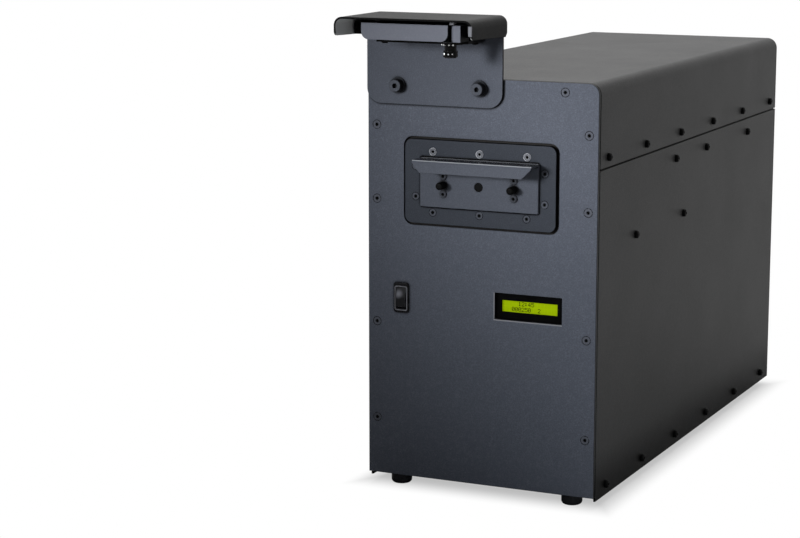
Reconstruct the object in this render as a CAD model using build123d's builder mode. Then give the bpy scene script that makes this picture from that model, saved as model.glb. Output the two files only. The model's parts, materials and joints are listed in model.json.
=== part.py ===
from build123d import *
import os
from math import cos, radians, sin, tan

# A degausser tower for hard drives, with a camera hood bolted to its front, in millimetres.
# The front faces -Y, +X is to the right of someone facing it and +Z is up.
# The origin is on the floor, under the middle of the whole object's box.

# Casing
body_width = 254.0
body_depth = 635.0
panel_height = 424.0
panel_thickness = 3.5
panel_corner = 11.0
panel_edge = 0.8
panel_shadow_gap = 2.5
sheet = 2.0
base_thickness = 3.0
base_flange = 22.0
cover_bend = 12.0
cover_side = 86.0
seam_gap = 1.4
skirt_drop = 4.6
frame_depth = 40.0
frame_flange = 16.0
rear_flange = 45.0
rail_height = 50.0
rail_above_seam = 22.0
rail_thickness = 3.0

# Feet
foot_diameter = 22.0
foot_height = 13.0
foot_edge = 4.0
foot_from_side = 30.0
foot_from_end = 18.5

# Casing screws, button heads
button_head = 8.2
button_height = 3.8
button_shank = 5.0
button_length = 8.0
button_socket = 3.4
button_socket_depth = 1.4
button_dome = 2.0
screw_clearance = 0.15
screw_tip_gap = 0.5
cover_screw_above_seam = 10.3
cover_screw_from_front = 29.0
cover_screw_from_rear = 28.0
side_row_count = 6
base_screw_height = 7.0
base_screw_from_front = 36.0
base_screw_from_rear = 35.0
rail_screw_below_seam = 17.0
rail_screws_from_front = (245.0, 354.0)
rail_screw_from_rear = 120.5
shelf_screw_below_top = 5.7
shelf_screws_from_front = (116.0, 275.0)

# Front panel screws, countersunk
panel_screw_head = 9.5
panel_screw_shank = 5.0
panel_screw_length = 9.0
panel_screw_from_side = 10.0
panel_screw_heights = (60.6, 164.4, 294.8, 372.2)
panel_top_row_drop = 9.8
panel_top_screw_from_side = 36.0
socket_width = 3.6
socket_depth = 1.6

# Drawer opening
drawer_from_top = 108.0
cutout_margin = 2.5
cutout_corner = 10.0
aperture_rim = 18.2
aperture_corner = 8.0
aperture_proud = 3.0
aperture_edge = 0.7
aperture_screw_head = 8.4
aperture_screw_shank = 4.0
aperture_screw_from_drawer = 6.0
aperture_row_offset = 52.0
aperture_side_height = 15.7

# Drawer
drawer_width = 130.6
drawer_height = 51.0
drawer_corner = 1.5
drawer_gap = 1.2
drawer_proud = 2.4
drawer_seat_gap = 0.2
drawer_edge = 0.5
drawer_hole = 9.6
drawer_hole_depth = 5.0
handle_reach = 20.0
handle_thickness = 2.0
handle_lip = 13.0
handle_lean = 12.0
handle_bend = 2.6
handle_corner = 9.5
peg_diameter = 8.2
peg_length = 12.2
peg_offset = 39.0
peg_drop = 2.0
drawer_screw_head = 7.4
drawer_screw_height = 1.6
drawer_screw_shank = 3.5
drawer_screw_length = 13.0
drawer_screw_rise = 9.3

# Tray and its rails
drive_width = 101.6
drive_length = 147.0
drive_side_room = 2.7
drive_end_room = 2.5
tray_wall = 2.5
tray_front_wall = 6.0
tray_height = 32.0
tray_tail = 76.0
tray_lift = 3.5
rib_reach = 2.5
rib_height = 4.0
rib_level = 14.0
slide_gap = 0.3
slide_side_gap = 0.5
slide_rail_width = 4.5
slide_rail_height = 15.0

# Coil and chamber
bore_rim_height = 5.0
bobbin_wall = 3.0
bobbin_flange = 4.0
bobbin_overlap = 6.0
bobbin_frame_gap = 0.5
bobbin_flange_rise = 7.7
bobbin_tail = 16.0
coil_inset = 3.0
coil_corner = 22.0
coil_gap = 0.3

# Drawer lock
solenoid_size = 30.0
solenoid_height = 28.0
solenoid_floor = 3.0
solenoid_gap = 1.0
plunger_diameter = 8.0
plunger_fit = 0.05
plunger_seat_gap = 0.2
plunger_below_tongue = 1.5
tongue_width = 24.0
tongue_thickness = 3.0
tongue_end = 9.0
tongue_hole_gap = 1.0

# Shelf and discharge circuit
shelf_from_front = 60.0
shelf_tail = 187.0
shelf_flange = 20.0
sink_width = 120.0
sink_length = 100.0
sink_base = 8.0
sink_fin_height = 30.0
sink_fin = 3.0
sink_fin_count = 9
sink_after_lock = 20.0
switch_module_width = 56.0
switch_module_length = 80.0
switch_module_height = 30.0
terminal_diameter = 12.0
terminal_height = 4.0
strap_width = 14.0
strap_thickness = 3.0
strap_lap = 20.0
strap_notch_gap = 0.5

# Capacitor bank
capacitor_diameter = 76.0
capacitor_height = 140.0
capacitor_spacing_x = 80.0
capacitor_spacing_y = 90.0
capacitor_rows = 3
capacitor_from_front = 110.0
capacitor_edge = 3.0
post_diameter = 10.0
post_height = 92.0
plate_margin = 8.0
plate_hole_gap = 0.5
bus_width = 14.0
bus_thickness = 3.0
bus_end = 10.0

# Transformer
core_width = 132.0
core_height = 110.0
core_depth = 60.0
core_leg = 22.0
winding_overhang = 18.0
winding_gap = 0.4
transformer_from_rear = 140.0

# Control board
board_width = 170.0
board_height = 100.0
board_thickness = 1.6
board_level = 105.0
standoff_diameter = 7.0
standoff_length = 25.0
standoff_inset = 6.0

# Display
display_from_side = 73.5
controls_level = 191.8
display_window_width = 74.0
display_window_height = 28.0
display_window_corner = 1.0
display_overlap = 4.0
bezel_thickness = 2.5
view_width = 61.4
view_height = 12.2
glass_margin = 5.0
glass_thickness = 2.0

# Rocker switch
switch_from_side = 38.4
switch_bezel_width = 16.7
switch_bezel_height = 31.5
switch_bezel_proud = 2.0
switch_bezel_corner = 2.5
switch_body_width = 13.4
switch_body_height = 27.4
switch_body_depth = 25.0
switch_cut_gap = 0.3
rocker_width = 10.4
rocker_height = 20.6
rocker_crown = 6.2
rocker_end = 4.6
rocker_back = 4.0
rocker_tilt = 10.0
rocker_side_gap = 0.35
rocker_end_gap = 1.2
rocker_pocket = 14.0
rocker_setback = 2.5
rocker_pin = 3.0
rocker_pin_length = 0.8
rocker_pin_fit = 0.05
pin_end_gap = 0.2

# Cooling fan
fan_size = 92.0
fan_depth = 25.4
fan_bore = 87.0
fan_corner = 5.0
fan_screw_offset = 41.25
fan_hub = 36.0
fan_hub_length = 17.0
fan_cup = 2.0
fan_tip_gap = 1.5
fan_blades = 7
fan_chord = 18.0
fan_blade_thickness = 1.8
fan_pitch = 38.0
fan_strut = 7.0
fan_strut_depth = 3.0
fan_shaft = 4.0
fan_shaft_fit = 0.05
fan_axial_gap = 0.6
fan_from_top = 100.0
guard_thickness = 1.6
guard_ring = 1.6
guard_rings = 5
fan_screw_head = 7.5
fan_screw_height = 2.2
fan_screw_shank = 4.0
fan_screw_length = 9.0

# Rear sockets
inlet_from_side = 57.0
inlet_level = 60.0
inlet_flange_width = 50.0
inlet_flange_height = 26.0
inlet_flange_thickness = 2.5
inlet_body_width = 28.6
inlet_body_height = 20.6
inlet_body_depth = 22.0
inlet_socket_width = 24.6
inlet_socket_height = 16.6
inlet_socket_depth = 17.0
pin_width = 2.0
pin_height = 4.0
pin_length = 13.0
pin_spacing = 14.0
pin_low_drop = 3.2
pin_high_rise = 0.8
jack_offset = 20.0
jack_width = 16.0
jack_height = 13.6
jack_depth = 20.0
jack_socket_width = 11.8
jack_socket_height = 8.0
jack_socket_depth = 13.0
jack_flange = 1.5
jack_flange_thickness = 1.0
socket_cut_gap = 0.2

# Camera hood
hood_reach = 87.0
hood_rear = 2.2
hood_width = 149.6
hood_above_panel = 64.6
hood_side = 21.5
hood_front_side = 18.8
hood_bend = 8.6
hood_sheet = 2.0
hood_lip_height = 16.0
hood_lip_corner = 4.0
hood_corner = 5.0
bracket_width = 151.0
bracket_from_side = 0.5
bracket_thickness = 3.0
bracket_below_top = 29.0
bracket_corner = 15.5
bracket_tongue_gap = 0.5
bracket_step_gap = 1.0
bracket_flange_gap = 0.6
bracket_shelf_reach = 41.0
bracket_shelf_drop = 23.6
bolt_from_edge = 35.5
bolt_spacing = 91.0
bolt_head = 13.0
bolt_head_height = 8.0
bolt_shank = 8.0
bolt_length = 18.0
bolt_socket = 5.6
bolt_socket_depth = 4.0
washer_diameter = 16.0
washer_thickness = 1.4
camera_left = 21.5
camera_width = 108.5
camera_height = 16.5
camera_reach = 58.0
sole_from_left = 15.6
sole_thickness = 2.2
sole_gap = 0.5
wing_reach = 48.0
wing_lift = 4.0
wing_gap = 1.5
wing_screw_from_end = 3.8
wing_screw_rise = 5.0
label_thickness = 3.0
label_width = 94.9
label_corner = 8.0
module_gap = 1.9
module_round = 6.0
module_depth = 18.0
lens_from_right = 14.0
lens_reach = 53.0
lens_collar = 18.0
lens_collar_height = 3.0
lens_neck = 12.0
lens_length = 16.0
lens_cup = 8.0
lens_cup_depth = 2.0
ring_diameter = 14.6
ring_height = 6.0
ring_fit = 0.05
ring_from_end = 1.0
hood_screw_head = 6.6
hood_screw_height = 2.4
hood_screw_shank = 4.0
camera_screw_length = 7.0
camera_screw_inset = 4.3
camera_screw_far_inset = 13.7
camera_screw_far_reach = 34.0
camera_screw_reach = 14.0
hood_screw_inset = 28.0

# Levels and planes that follow from the sizes above
rear_proud = guard_thickness + fan_screw_height
overall_depth = hood_reach + body_depth + rear_proud
front_y = hood_reach - overall_depth / 2
rear_y = front_y + body_depth
panel_back = front_y + panel_thickness
casing_front = panel_back + panel_shadow_gap
frame_back = panel_back + frame_depth
rear_inner = rear_y - sheet
rear_flange_front = rear_y - rear_flange
panel_bottom = foot_height
top_z = panel_bottom + panel_height
base_top = panel_bottom + base_thickness
seam_z = top_z - cover_side
inner_half = body_width / 2 - sheet
drawer_z = top_z - drawer_from_top
controls_z = panel_bottom + controls_level
display_offset = body_width / 2 - display_from_side
switch_offset = body_width / 2 - switch_from_side
inlet_offset = body_width / 2 - inlet_from_side

# Drawer opening, chamber and tray
aperture_width = drawer_width + 2 * aperture_rim
aperture_height = drawer_height + 2 * aperture_rim
aperture_side_offset = drawer_width / 2 + aperture_screw_from_drawer
aperture_row_height = drawer_height / 2 + aperture_screw_from_drawer
cutout_width = aperture_width + 2 * cutout_margin
cutout_height = aperture_height + 2 * cutout_margin
aperture_front = front_y - aperture_proud
drawer_face = aperture_front - drawer_proud
drawer_back = panel_back - drawer_seat_gap
tray_width = drive_width + 2 * (drive_side_room + tray_wall)
bore_width = tray_width + 2 * (slide_side_gap + slide_rail_width)
bore_height = drawer_height - 2 * bore_rim_height
bore_bottom = drawer_z - bore_height / 2
pocket_width = tray_width - 2 * tray_wall
pocket_length = drive_length + 2 * drive_end_room
tray_length = tray_front_wall + pocket_length + tray_wall + tray_tail
tray_rear = drawer_back + tray_length
tray_bottom = bore_bottom + tray_lift
bobbin_rear = tray_rear + bobbin_tail
bobbin_width = cutout_width + 2 * bobbin_overlap
bobbin_height = cutout_height + 2 * bobbin_flange_rise
shelf_top = drawer_z - bobbin_height / 2
rib_bottom = tray_bottom + rib_level
peg_z = drawer_z - peg_drop

# Lock, shelf and circuit
lock_y = bobbin_rear + solenoid_gap + solenoid_size / 2
plunger_top = tray_bottom - plunger_below_tongue
sink_front = lock_y + solenoid_size / 2 + sink_after_lock
sink_base_bottom = shelf_top + sink_fin_height
sink_top = sink_base_bottom + sink_base
module_y = sink_front + sink_length / 2
terminal_top = sink_top + switch_module_height + terminal_height
shelf_rear = bobbin_rear + shelf_tail
coil_top = drawer_z + bobbin_height / 2 - coil_inset
fan_z = top_z - fan_from_top

# Hood
bracket_left = -body_width / 2 + bracket_from_side
bracket_mid = bracket_left + bracket_width / 2
bracket_right = bracket_left + bracket_width
hood_mid = bracket_right + bracket_flange_gap + hood_sheet - hood_width / 2
bracket_front = front_y - bracket_thickness
hood_top = top_z + hood_above_panel
hood_under = hood_top - hood_sheet
hood_front = front_y - hood_reach
camera_bottom = hood_top - bracket_shelf_drop
camera_top = camera_bottom + camera_height
camera_x = bracket_left + camera_left
camera_face = front_y - camera_reach
bolt_z = top_z - panel_top_row_drop
bolt_left = bracket_left + bolt_from_edge
bolt_points = [(bolt_left, bolt_z), (bolt_left + bolt_spacing, bolt_z)]
lens_x = camera_x + camera_width - lens_from_right
lens_y = front_y - lens_reach


def front_plane(y):
    return Plane.XZ.offset(-y)


def block(low, high, mode=Mode.ADD):
    size = [b - a for a, b in zip(low, high)]
    middle = [(a + b) / 2 for a, b in zip(low, high)]
    with Locations(tuple(middle)):
        Box(*size, mode=mode)


def spaced(first, last, count):
    step = (last - first) / (count - 1)
    return [first + step * i for i in range(count)]


def facing_front(points, y):
    return [Location((x, y, z), (90, 0, 0)) for x, z in points]


def facing_rear(points, y):
    return [Location((x, y, z), (-90, 0, 0)) for x, z in points]


def facing_sides(points):
    right = [Location((body_width / 2, y, z), (0, 90, 0)) for y, z in points]
    left = [Location((-body_width / 2, y, z), (0, -90, 0)) for y, z in points]
    return right + left


def drill_across(points, diameter):
    with Locations(*[Location((0, y, z), (0, 90, 0)) for y, z in points]):
        Cylinder(diameter / 2, 2 * body_width, mode=Mode.SUBTRACT)


def drill_through(points, y, diameter, depth):
    with Locations(*facing_front(points, y)):
        Cylinder(
            diameter / 2, depth, align=(Align.CENTER, Align.CENTER, Align.MAX), mode=Mode.SUBTRACT
        )


def countersink(points, y, head, shank):
    with Locations(*facing_front(points, y)):
        CounterSinkHole(
            shank / 2 + screw_clearance, head / 2 + screw_clearance, counter_sink_angle=90
        )


def countersunk_screw(head, shank, length):
    cone = (head - shank) / 2
    with BuildPart() as screw:
        Cylinder(shank / 2, length, align=(Align.CENTER, Align.CENTER, Align.MAX))
        Cone(shank / 2, head / 2, cone, align=(Align.CENTER, Align.CENTER, Align.MAX))
        with BuildSketch():
            RegularPolygon(socket_width / 2, 6)
        extrude(amount=-socket_depth, mode=Mode.SUBTRACT)
    return screw.part


def headed_screw(head, height, shank, length, socket, depth, rounding):
    with BuildPart() as screw:
        Cylinder(head / 2, height, align=(Align.CENTER, Align.CENTER, Align.MIN))
        fillet(screw.edges().group_by(Axis.Z)[-1], rounding)
        Cylinder(shank / 2, length, align=(Align.CENTER, Align.CENTER, Align.MAX))
        with BuildSketch(Plane.XY.offset(height)):
            RegularPolygon(socket / 2, 6)
        extrude(amount=-depth, mode=Mode.SUBTRACT)
    return screw.part


def channel_section(plane, middle, half_width, top, bottom, bend, wall):
    inner_half_width = half_width - wall
    inner_bend = max(bend - wall, wall / 2)
    left, right = middle - half_width, middle + half_width
    inner_left, inner_right = middle - inner_half_width, middle + inner_half_width
    with BuildSketch(plane) as section:
        with BuildLine():
            FilletPolyline((left, bottom), (left, top), (right, top), (right, bottom), radius=bend)
            FilletPolyline(
                (inner_left, bottom), (inner_left, top - wall), (inner_right, top - wall),
                (inner_right, bottom), radius=inner_bend,
            )
            Line((left, bottom), (inner_left, bottom))
            Line((right, bottom), (inner_right, bottom))
        make_face()
    return section.sketch


# Screw places
cover_screw_z = seam_z + cover_screw_above_seam
cover_points = [
    (y, cover_screw_z)
    for y in spaced(front_y + cover_screw_from_front, rear_y - cover_screw_from_rear, side_row_count)
]
base_points = [
    (y, panel_bottom + base_screw_height)
    for y in spaced(front_y + base_screw_from_front, rear_y - base_screw_from_rear, side_row_count)
]
rail_points = [(front_y + offset, seam_z - rail_screw_below_seam) for offset in rail_screws_from_front]
rail_points.append((rear_y - rail_screw_from_rear, seam_z - rail_screw_below_seam))
shelf_screw_z = shelf_top - shelf_screw_below_top
shelf_points = [(front_y + offset, shelf_screw_z) for offset in shelf_screws_from_front]
side_points = base_points + rail_points + shelf_points
panel_side_x = body_width / 2 - panel_screw_from_side
panel_points = [(x, panel_bottom + z) for x in (-panel_side_x, panel_side_x) for z in panel_screw_heights]
panel_points.append((body_width / 2 - panel_top_screw_from_side, bolt_z))
aperture_points = [
    (x, drawer_z + z)
    for x in (-aperture_row_offset, 0, aperture_row_offset)
    for z in (-aperture_row_height, aperture_row_height)
]
aperture_points += [
    (x, drawer_z + z)
    for x in (-aperture_side_offset, aperture_side_offset)
    for z in (-aperture_side_height, aperture_side_height)
]
drawer_screw_points = [
    (x, peg_z + z)
    for x in (-peg_offset, peg_offset)
    for z in (-drawer_screw_rise, drawer_screw_rise)
]
button_hole = button_shank + 2 * screw_clearance
panel_hole = panel_screw_shank + 2 * screw_clearance
aperture_hole = aperture_screw_shank + 2 * screw_clearance
bolt_hole = bolt_shank + 2 * screw_clearance
hood_screw_hole = hood_screw_shank + 2 * screw_clearance

# Front panel
with BuildPart() as front_panel:
    with BuildSketch(front_plane(front_y)) as panel_outline:
        with Locations((0, panel_bottom + panel_height / 2)):
            Rectangle(body_width, panel_height)
        fillet(panel_outline.vertices().group_by(Axis.Y)[-1], panel_corner)
    extrude(amount=-panel_thickness)
    fillet(front_panel.faces().sort_by(Axis.Y)[0].outer_wire().edges(), panel_edge)
    with BuildSketch(front_plane(front_y)):
        with Locations((0, drawer_z)):
            RectangleRounded(cutout_width, cutout_height, cutout_corner)
        with Locations((display_offset, controls_z)):
            RectangleRounded(display_window_width, display_window_height, display_window_corner)
        with Locations((-switch_offset, controls_z)):
            Rectangle(switch_body_width + 2 * switch_cut_gap, switch_body_height + 2 * switch_cut_gap)
    extrude(amount=-panel_thickness, mode=Mode.SUBTRACT)
    countersink(panel_points, front_y, panel_screw_head, panel_screw_shank)
    drill_through(bolt_points, front_y, bolt_hole, panel_thickness)

# Folded ring behind the front panel, which the casing screws to
frame_inner = inner_half - frame_flange
with BuildPart() as front_frame:
    block((-inner_half, panel_back, base_top), (inner_half, frame_back, top_z - sheet))
    fillet(front_frame.edges().filter_by(Axis.Y).group_by(Axis.Z)[-1], cover_bend)
    block(
        (-inner_half + sheet, panel_back + sheet, base_top + sheet),
        (inner_half - sheet, frame_back, top_z - 2 * sheet - cover_bend),
        mode=Mode.SUBTRACT,
    )
    block(
        (-frame_inner, panel_back + sheet, top_z - 2 * sheet - cover_bend),
        (frame_inner, frame_back, top_z - 2 * sheet),
        mode=Mode.SUBTRACT,
    )
    block(
        (-frame_inner, panel_back, base_top + frame_flange),
        (frame_inner, frame_back, top_z - sheet - frame_flange),
        mode=Mode.SUBTRACT,
    )
    bobbin_room = bobbin_width / 2 + bobbin_frame_gap
    block(
        (-bobbin_room, panel_back, shelf_top - bobbin_frame_gap),
        (bobbin_room, bobbin_rear, shelf_top + bobbin_height + bobbin_frame_gap),
        mode=Mode.SUBTRACT,
    )
    drill_across(cover_points + side_points, button_hole)
    drill_through(panel_points, panel_back, panel_hole, sheet)
    drill_through(bolt_points, panel_back, bolt_hole, sheet)

# Base plate with a flange along each side
with BuildPart() as base_plate:
    block((-inner_half, casing_front, panel_bottom), (inner_half, rear_y, base_top))
    for side in (-1, 1):
        outer, inner = side * inner_half, side * (inner_half - sheet)
        block(
            (min(outer, inner), frame_back, base_top),
            (max(outer, inner), rear_flange_front, base_top + base_flange),
        )
    drill_across(base_points, button_hole)

# Side panels
side_bottom = panel_bottom - skirt_drop
side_low = (inner_half, casing_front, side_bottom)
side_high = (inner_half + sheet, rear_y, seam_z - seam_gap)
with BuildPart() as right_side_panel:
    block(side_low, side_high)
    drill_across(side_points, button_hole)
with BuildPart() as left_side_panel:
    add(mirror(right_side_panel.part, about=Plane.YZ, mode=Mode.PRIVATE))

# Top cover, folded over both sides
with BuildPart() as top_cover:
    cover_section = channel_section(
        front_plane(casing_front), 0, body_width / 2, top_z, seam_z, cover_bend, sheet
    )
    extrude(cover_section, amount=casing_front - rear_y)
    drill_across(cover_points, button_hole)

# Side rails behind the seam
rail_low = (inner_half - rail_thickness, frame_back, seam_z + rail_above_seam - rail_height)
rail_high = (inner_half, rear_flange_front, seam_z + rail_above_seam)
with BuildPart() as right_side_rail:
    block(rail_low, rail_high)
    drill_across(cover_points + side_points, button_hole)
with BuildPart() as left_side_rail:
    add(mirror(right_side_rail.part, about=Plane.YZ, mode=Mode.PRIVATE))

# Rear panel with folded edges
fan_screw_points = [
    (x, fan_z + z)
    for x in (-fan_screw_offset, fan_screw_offset)
    for z in (-fan_screw_offset, fan_screw_offset)
]
inlet_z = panel_bottom + inlet_level
fan_hole = fan_screw_shank + 2 * screw_clearance
with BuildPart() as rear_panel:
    block((-inner_half, rear_flange_front, base_top), (inner_half, rear_y, top_z - sheet))
    fillet(rear_panel.edges().filter_by(Axis.Y).group_by(Axis.Z)[-1], cover_bend)
    block(
        (-inner_half + sheet, rear_flange_front, base_top + sheet),
        (inner_half - sheet, rear_inner, top_z - 2 * sheet - cover_bend),
        mode=Mode.SUBTRACT,
    )
    block(
        (-frame_inner, rear_flange_front, top_z - 2 * sheet - cover_bend),
        (frame_inner, rear_inner, top_z - 2 * sheet),
        mode=Mode.SUBTRACT,
    )
    drill_across(cover_points + side_points, button_hole)
    drill_through([(0, fan_z)], rear_inner, fan_bore, sheet)
    drill_through(fan_screw_points, rear_inner, fan_hole, sheet)
    with BuildSketch(front_plane(rear_y)):
        with Locations((-inlet_offset, inlet_z)):
            Rectangle(inlet_body_width + 2 * socket_cut_gap, inlet_body_height + 2 * socket_cut_gap)
        with Locations((jack_offset, inlet_z)):
            Rectangle(jack_width + 2 * socket_cut_gap, jack_height + 2 * socket_cut_gap)
    extrude(amount=sheet, mode=Mode.SUBTRACT)

# Rubber feet
foot_x = body_width / 2 - foot_from_side
foot_ends = (front_y + foot_from_end, rear_y - foot_from_end)
with BuildPart() as rubber_feet:
    with Locations(*[(x, y, 0) for x in (-foot_x, foot_x) for y in foot_ends]):
        Cylinder(foot_diameter / 2, foot_height, align=(Align.CENTER, Align.CENTER, Align.MIN))
    fillet(rubber_feet.edges().group_by(Axis.Z)[0], foot_edge)

# Casing screws
button = headed_screw(
    button_head, button_height, button_shank, button_length,
    button_socket, button_socket_depth, button_dome,
)
with BuildPart() as cover_screws:
    with Locations(*facing_sides(cover_points)):
        add(button)
with BuildPart() as side_panel_screws:
    with Locations(*facing_sides(side_points)):
        add(button)
panel_screw = countersunk_screw(panel_screw_head, panel_screw_shank, panel_screw_length)
with BuildPart() as front_panel_screws:
    with Locations(*facing_front(panel_points, front_y)):
        add(panel_screw)

# Aperture plate round the drawer
aperture_depth = aperture_proud + panel_thickness
aperture_screw_length = aperture_depth + bobbin_flange - screw_tip_gap
with BuildPart() as aperture_plate:
    with BuildSketch(front_plane(aperture_front)):
        with Locations((0, drawer_z)):
            RectangleRounded(aperture_width, aperture_height, aperture_corner)
    extrude(amount=-aperture_depth)
    fillet(aperture_plate.faces().sort_by(Axis.Y)[0].outer_wire().edges(), aperture_edge)
    with BuildSketch(front_plane(aperture_front)):
        with Locations((0, drawer_z)):
            RectangleRounded(
                drawer_width + 2 * drawer_gap, drawer_height + 2 * drawer_gap, drawer_corner + drawer_gap
            )
    extrude(amount=-aperture_depth, mode=Mode.SUBTRACT)
    countersink(aperture_points, aperture_front, aperture_screw_head, aperture_screw_shank)
aperture_screw = countersunk_screw(aperture_screw_head, aperture_screw_shank, aperture_screw_length)
with BuildPart() as aperture_screws:
    with Locations(*facing_front(aperture_points, aperture_front)):
        add(aperture_screw)

# Drawer front with its folded pull lip
handle_top = drawer_z + drawer_height / 2
handle_front = drawer_face - handle_reach
lip_out = handle_lip * tan(radians(handle_lean))
drawer_screw_hole = drawer_screw_shank + 2 * screw_clearance
with BuildPart() as drawer_front:
    with BuildSketch(front_plane(drawer_face)):
        with Locations((0, drawer_z)):
            RectangleRounded(drawer_width, drawer_height, drawer_corner)
    extrude(amount=drawer_face - drawer_back)
    fillet(drawer_front.faces().sort_by(Axis.Y)[0].outer_wire().edges(), drawer_edge)
    with BuildSketch(Plane.YZ.offset(-drawer_width / 2)) as handle_profile:
        with BuildLine():
            Polyline(
                (drawer_face + drawer_corner, handle_top - drawer_edge),
                (handle_front, handle_top - drawer_edge),
                (handle_front - lip_out, handle_top - handle_lip),
                (handle_front - lip_out + handle_thickness, handle_top - handle_lip),
                (handle_front + handle_thickness, handle_top - drawer_edge - handle_thickness),
                (drawer_face + drawer_corner, handle_top - drawer_edge - handle_thickness),
                close=True,
            )
        make_face()
        bend_corner = handle_profile.vertices().filter_by_position(
            Axis.X, handle_front - drawer_edge, handle_front + drawer_edge
        )
        fillet(bend_corner, handle_bend)
    extrude(amount=drawer_width)
    with BuildSketch(front_plane(handle_front - 2 * lip_out)):
        for side in (-1, 1):
            edge = side * drawer_width / 2
            with BuildLine():
                Polyline(
                    (edge - side * handle_corner, handle_top - handle_lip),
                    (edge, handle_top - handle_lip),
                    (edge, handle_top - handle_lip + handle_corner),
                    close=True,
                )
            make_face()
    extrude(amount=-(2 * lip_out + handle_reach - drawer_edge), mode=Mode.SUBTRACT)
    drill_through([(0, peg_z)], drawer_face, drawer_hole, drawer_hole_depth)
    drill_through(drawer_screw_points, drawer_face, drawer_screw_hole, drawer_back - drawer_face)

# Two pegs on the drawer front
with BuildPart() as drawer_pegs:
    with Locations(*facing_front([(-peg_offset, peg_z), (peg_offset, peg_z)], drawer_face)):
        Cylinder(peg_diameter / 2, peg_length, align=(Align.CENTER, Align.CENTER, Align.MIN))
    fillet(drawer_pegs.edges().group_by(Axis.Y)[0], peg_diameter / 4)

# Tray for one drive, with side ribs and a lock tongue
pocket_front = drawer_back + tray_front_wall
pocket_rear = pocket_front + pocket_length
with BuildPart() as drawer_tray:
    block(
        (-tray_width / 2, drawer_back, tray_bottom),
        (tray_width / 2, tray_rear, tray_bottom + tray_height),
    )
    block(
        (-pocket_width / 2, pocket_front, tray_bottom + tray_wall),
        (pocket_width / 2, pocket_rear, tray_bottom + tray_height),
        mode=Mode.SUBTRACT,
    )
    block(
        (-pocket_width / 2, pocket_rear + tray_wall, tray_bottom + tray_wall),
        (pocket_width / 2, tray_rear - tray_wall, tray_bottom + tray_height),
        mode=Mode.SUBTRACT,
    )
    block(
        (-tray_width / 2 - rib_reach, pocket_front, rib_bottom),
        (-tray_width / 2, tray_rear, rib_bottom + rib_height),
    )
    block(
        (tray_width / 2, pocket_front, rib_bottom),
        (tray_width / 2 + rib_reach, tray_rear, rib_bottom + rib_height),
    )
    block(
        (-tongue_width / 2, tray_rear, tray_bottom),
        (tongue_width / 2, lock_y + tongue_end, tray_bottom + tongue_thickness),
    )
    with Locations((0, lock_y, tray_bottom)):
        Cylinder(plunger_diameter / 2 + tongue_hole_gap, 2 * tray_height, mode=Mode.SUBTRACT)
    drill_through(drawer_screw_points, drawer_back, drawer_screw_hole, tray_front_wall)

drawer_screw = headed_screw(
    drawer_screw_head, drawer_screw_height, drawer_screw_shank, drawer_screw_length,
    socket_width, drawer_screw_height / 2, drawer_screw_height / 2,
)
with BuildPart() as drawer_screws:
    with Locations(*facing_front(drawer_screw_points, drawer_face)):
        add(drawer_screw)

# Rails in the bore that hold the tray's ribs
rail_inner = tray_width / 2 + slide_side_gap
slot_end = tray_width / 2 + rib_reach + slide_gap
rail_mid = rib_bottom + rib_height / 2
with BuildPart() as drawer_rails:
    block(
        (rail_inner, pocket_front - tray_front_wall / 2, rail_mid - slide_rail_height / 2),
        (bore_width / 2, bobbin_rear, rail_mid + slide_rail_height / 2),
    )
    block(
        (rail_inner, panel_back, rib_bottom - slide_gap),
        (slot_end, bobbin_rear, rib_bottom + rib_height + slide_gap),
        mode=Mode.SUBTRACT,
    )
    mirror(about=Plane.YZ)

# Coil former, whose bore is the drive chamber
terminal_offset = switch_module_width / 2 - terminal_diameter
strap_points = (-terminal_offset, terminal_offset)
notch_width = strap_width + 2 * strap_notch_gap
with BuildPart() as coil_bobbin:
    block(
        (-bobbin_width / 2, panel_back, shelf_top),
        (bobbin_width / 2, panel_back + bobbin_flange, shelf_top + bobbin_height),
    )
    block(
        (-bobbin_width / 2, bobbin_rear - bobbin_flange, shelf_top),
        (bobbin_width / 2, bobbin_rear, shelf_top + bobbin_height),
    )
    block(
        (-bore_width / 2 - bobbin_wall, panel_back, bore_bottom - bobbin_wall),
        (bore_width / 2 + bobbin_wall, bobbin_rear, bore_bottom + bore_height + bobbin_wall),
    )
    block(
        (-bore_width / 2, panel_back, bore_bottom),
        (bore_width / 2, bobbin_rear, bore_bottom + bore_height),
        mode=Mode.SUBTRACT,
    )
    for x in strap_points:
        block(
            (x - notch_width / 2, bobbin_rear - bobbin_flange, coil_top),
            (x + notch_width / 2, bobbin_rear, shelf_top + bobbin_height),
            mode=Mode.SUBTRACT,
        )
    drill_through(aperture_points, panel_back, aperture_hole, bobbin_flange)

coil_front = panel_back + bobbin_flange
coil_rear = bobbin_rear - bobbin_flange
with BuildPart() as degauss_coil:
    with BuildSketch(front_plane(coil_front)):
        with Locations((0, drawer_z)):
            RectangleRounded(
                bobbin_width - 2 * coil_inset, bobbin_height - 2 * coil_inset, coil_corner
            )
            Rectangle(
                bore_width + 2 * (bobbin_wall + coil_gap), bore_height + 2 * (bobbin_wall + coil_gap),
                mode=Mode.SUBTRACT,
            )
    extrude(amount=coil_front - coil_rear)

# Shelf under the coil
shelf_front = front_y + shelf_from_front
with BuildPart() as coil_shelf:
    block(
        (-inner_half, shelf_front, shelf_top - shelf_flange),
        (inner_half, shelf_rear, shelf_top),
    )
    block(
        (-inner_half + sheet, shelf_front, shelf_top - shelf_flange),
        (inner_half - sheet, shelf_rear, shelf_top - sheet),
        mode=Mode.SUBTRACT,
    )
    drill_across(shelf_points, button_hole)

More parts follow.
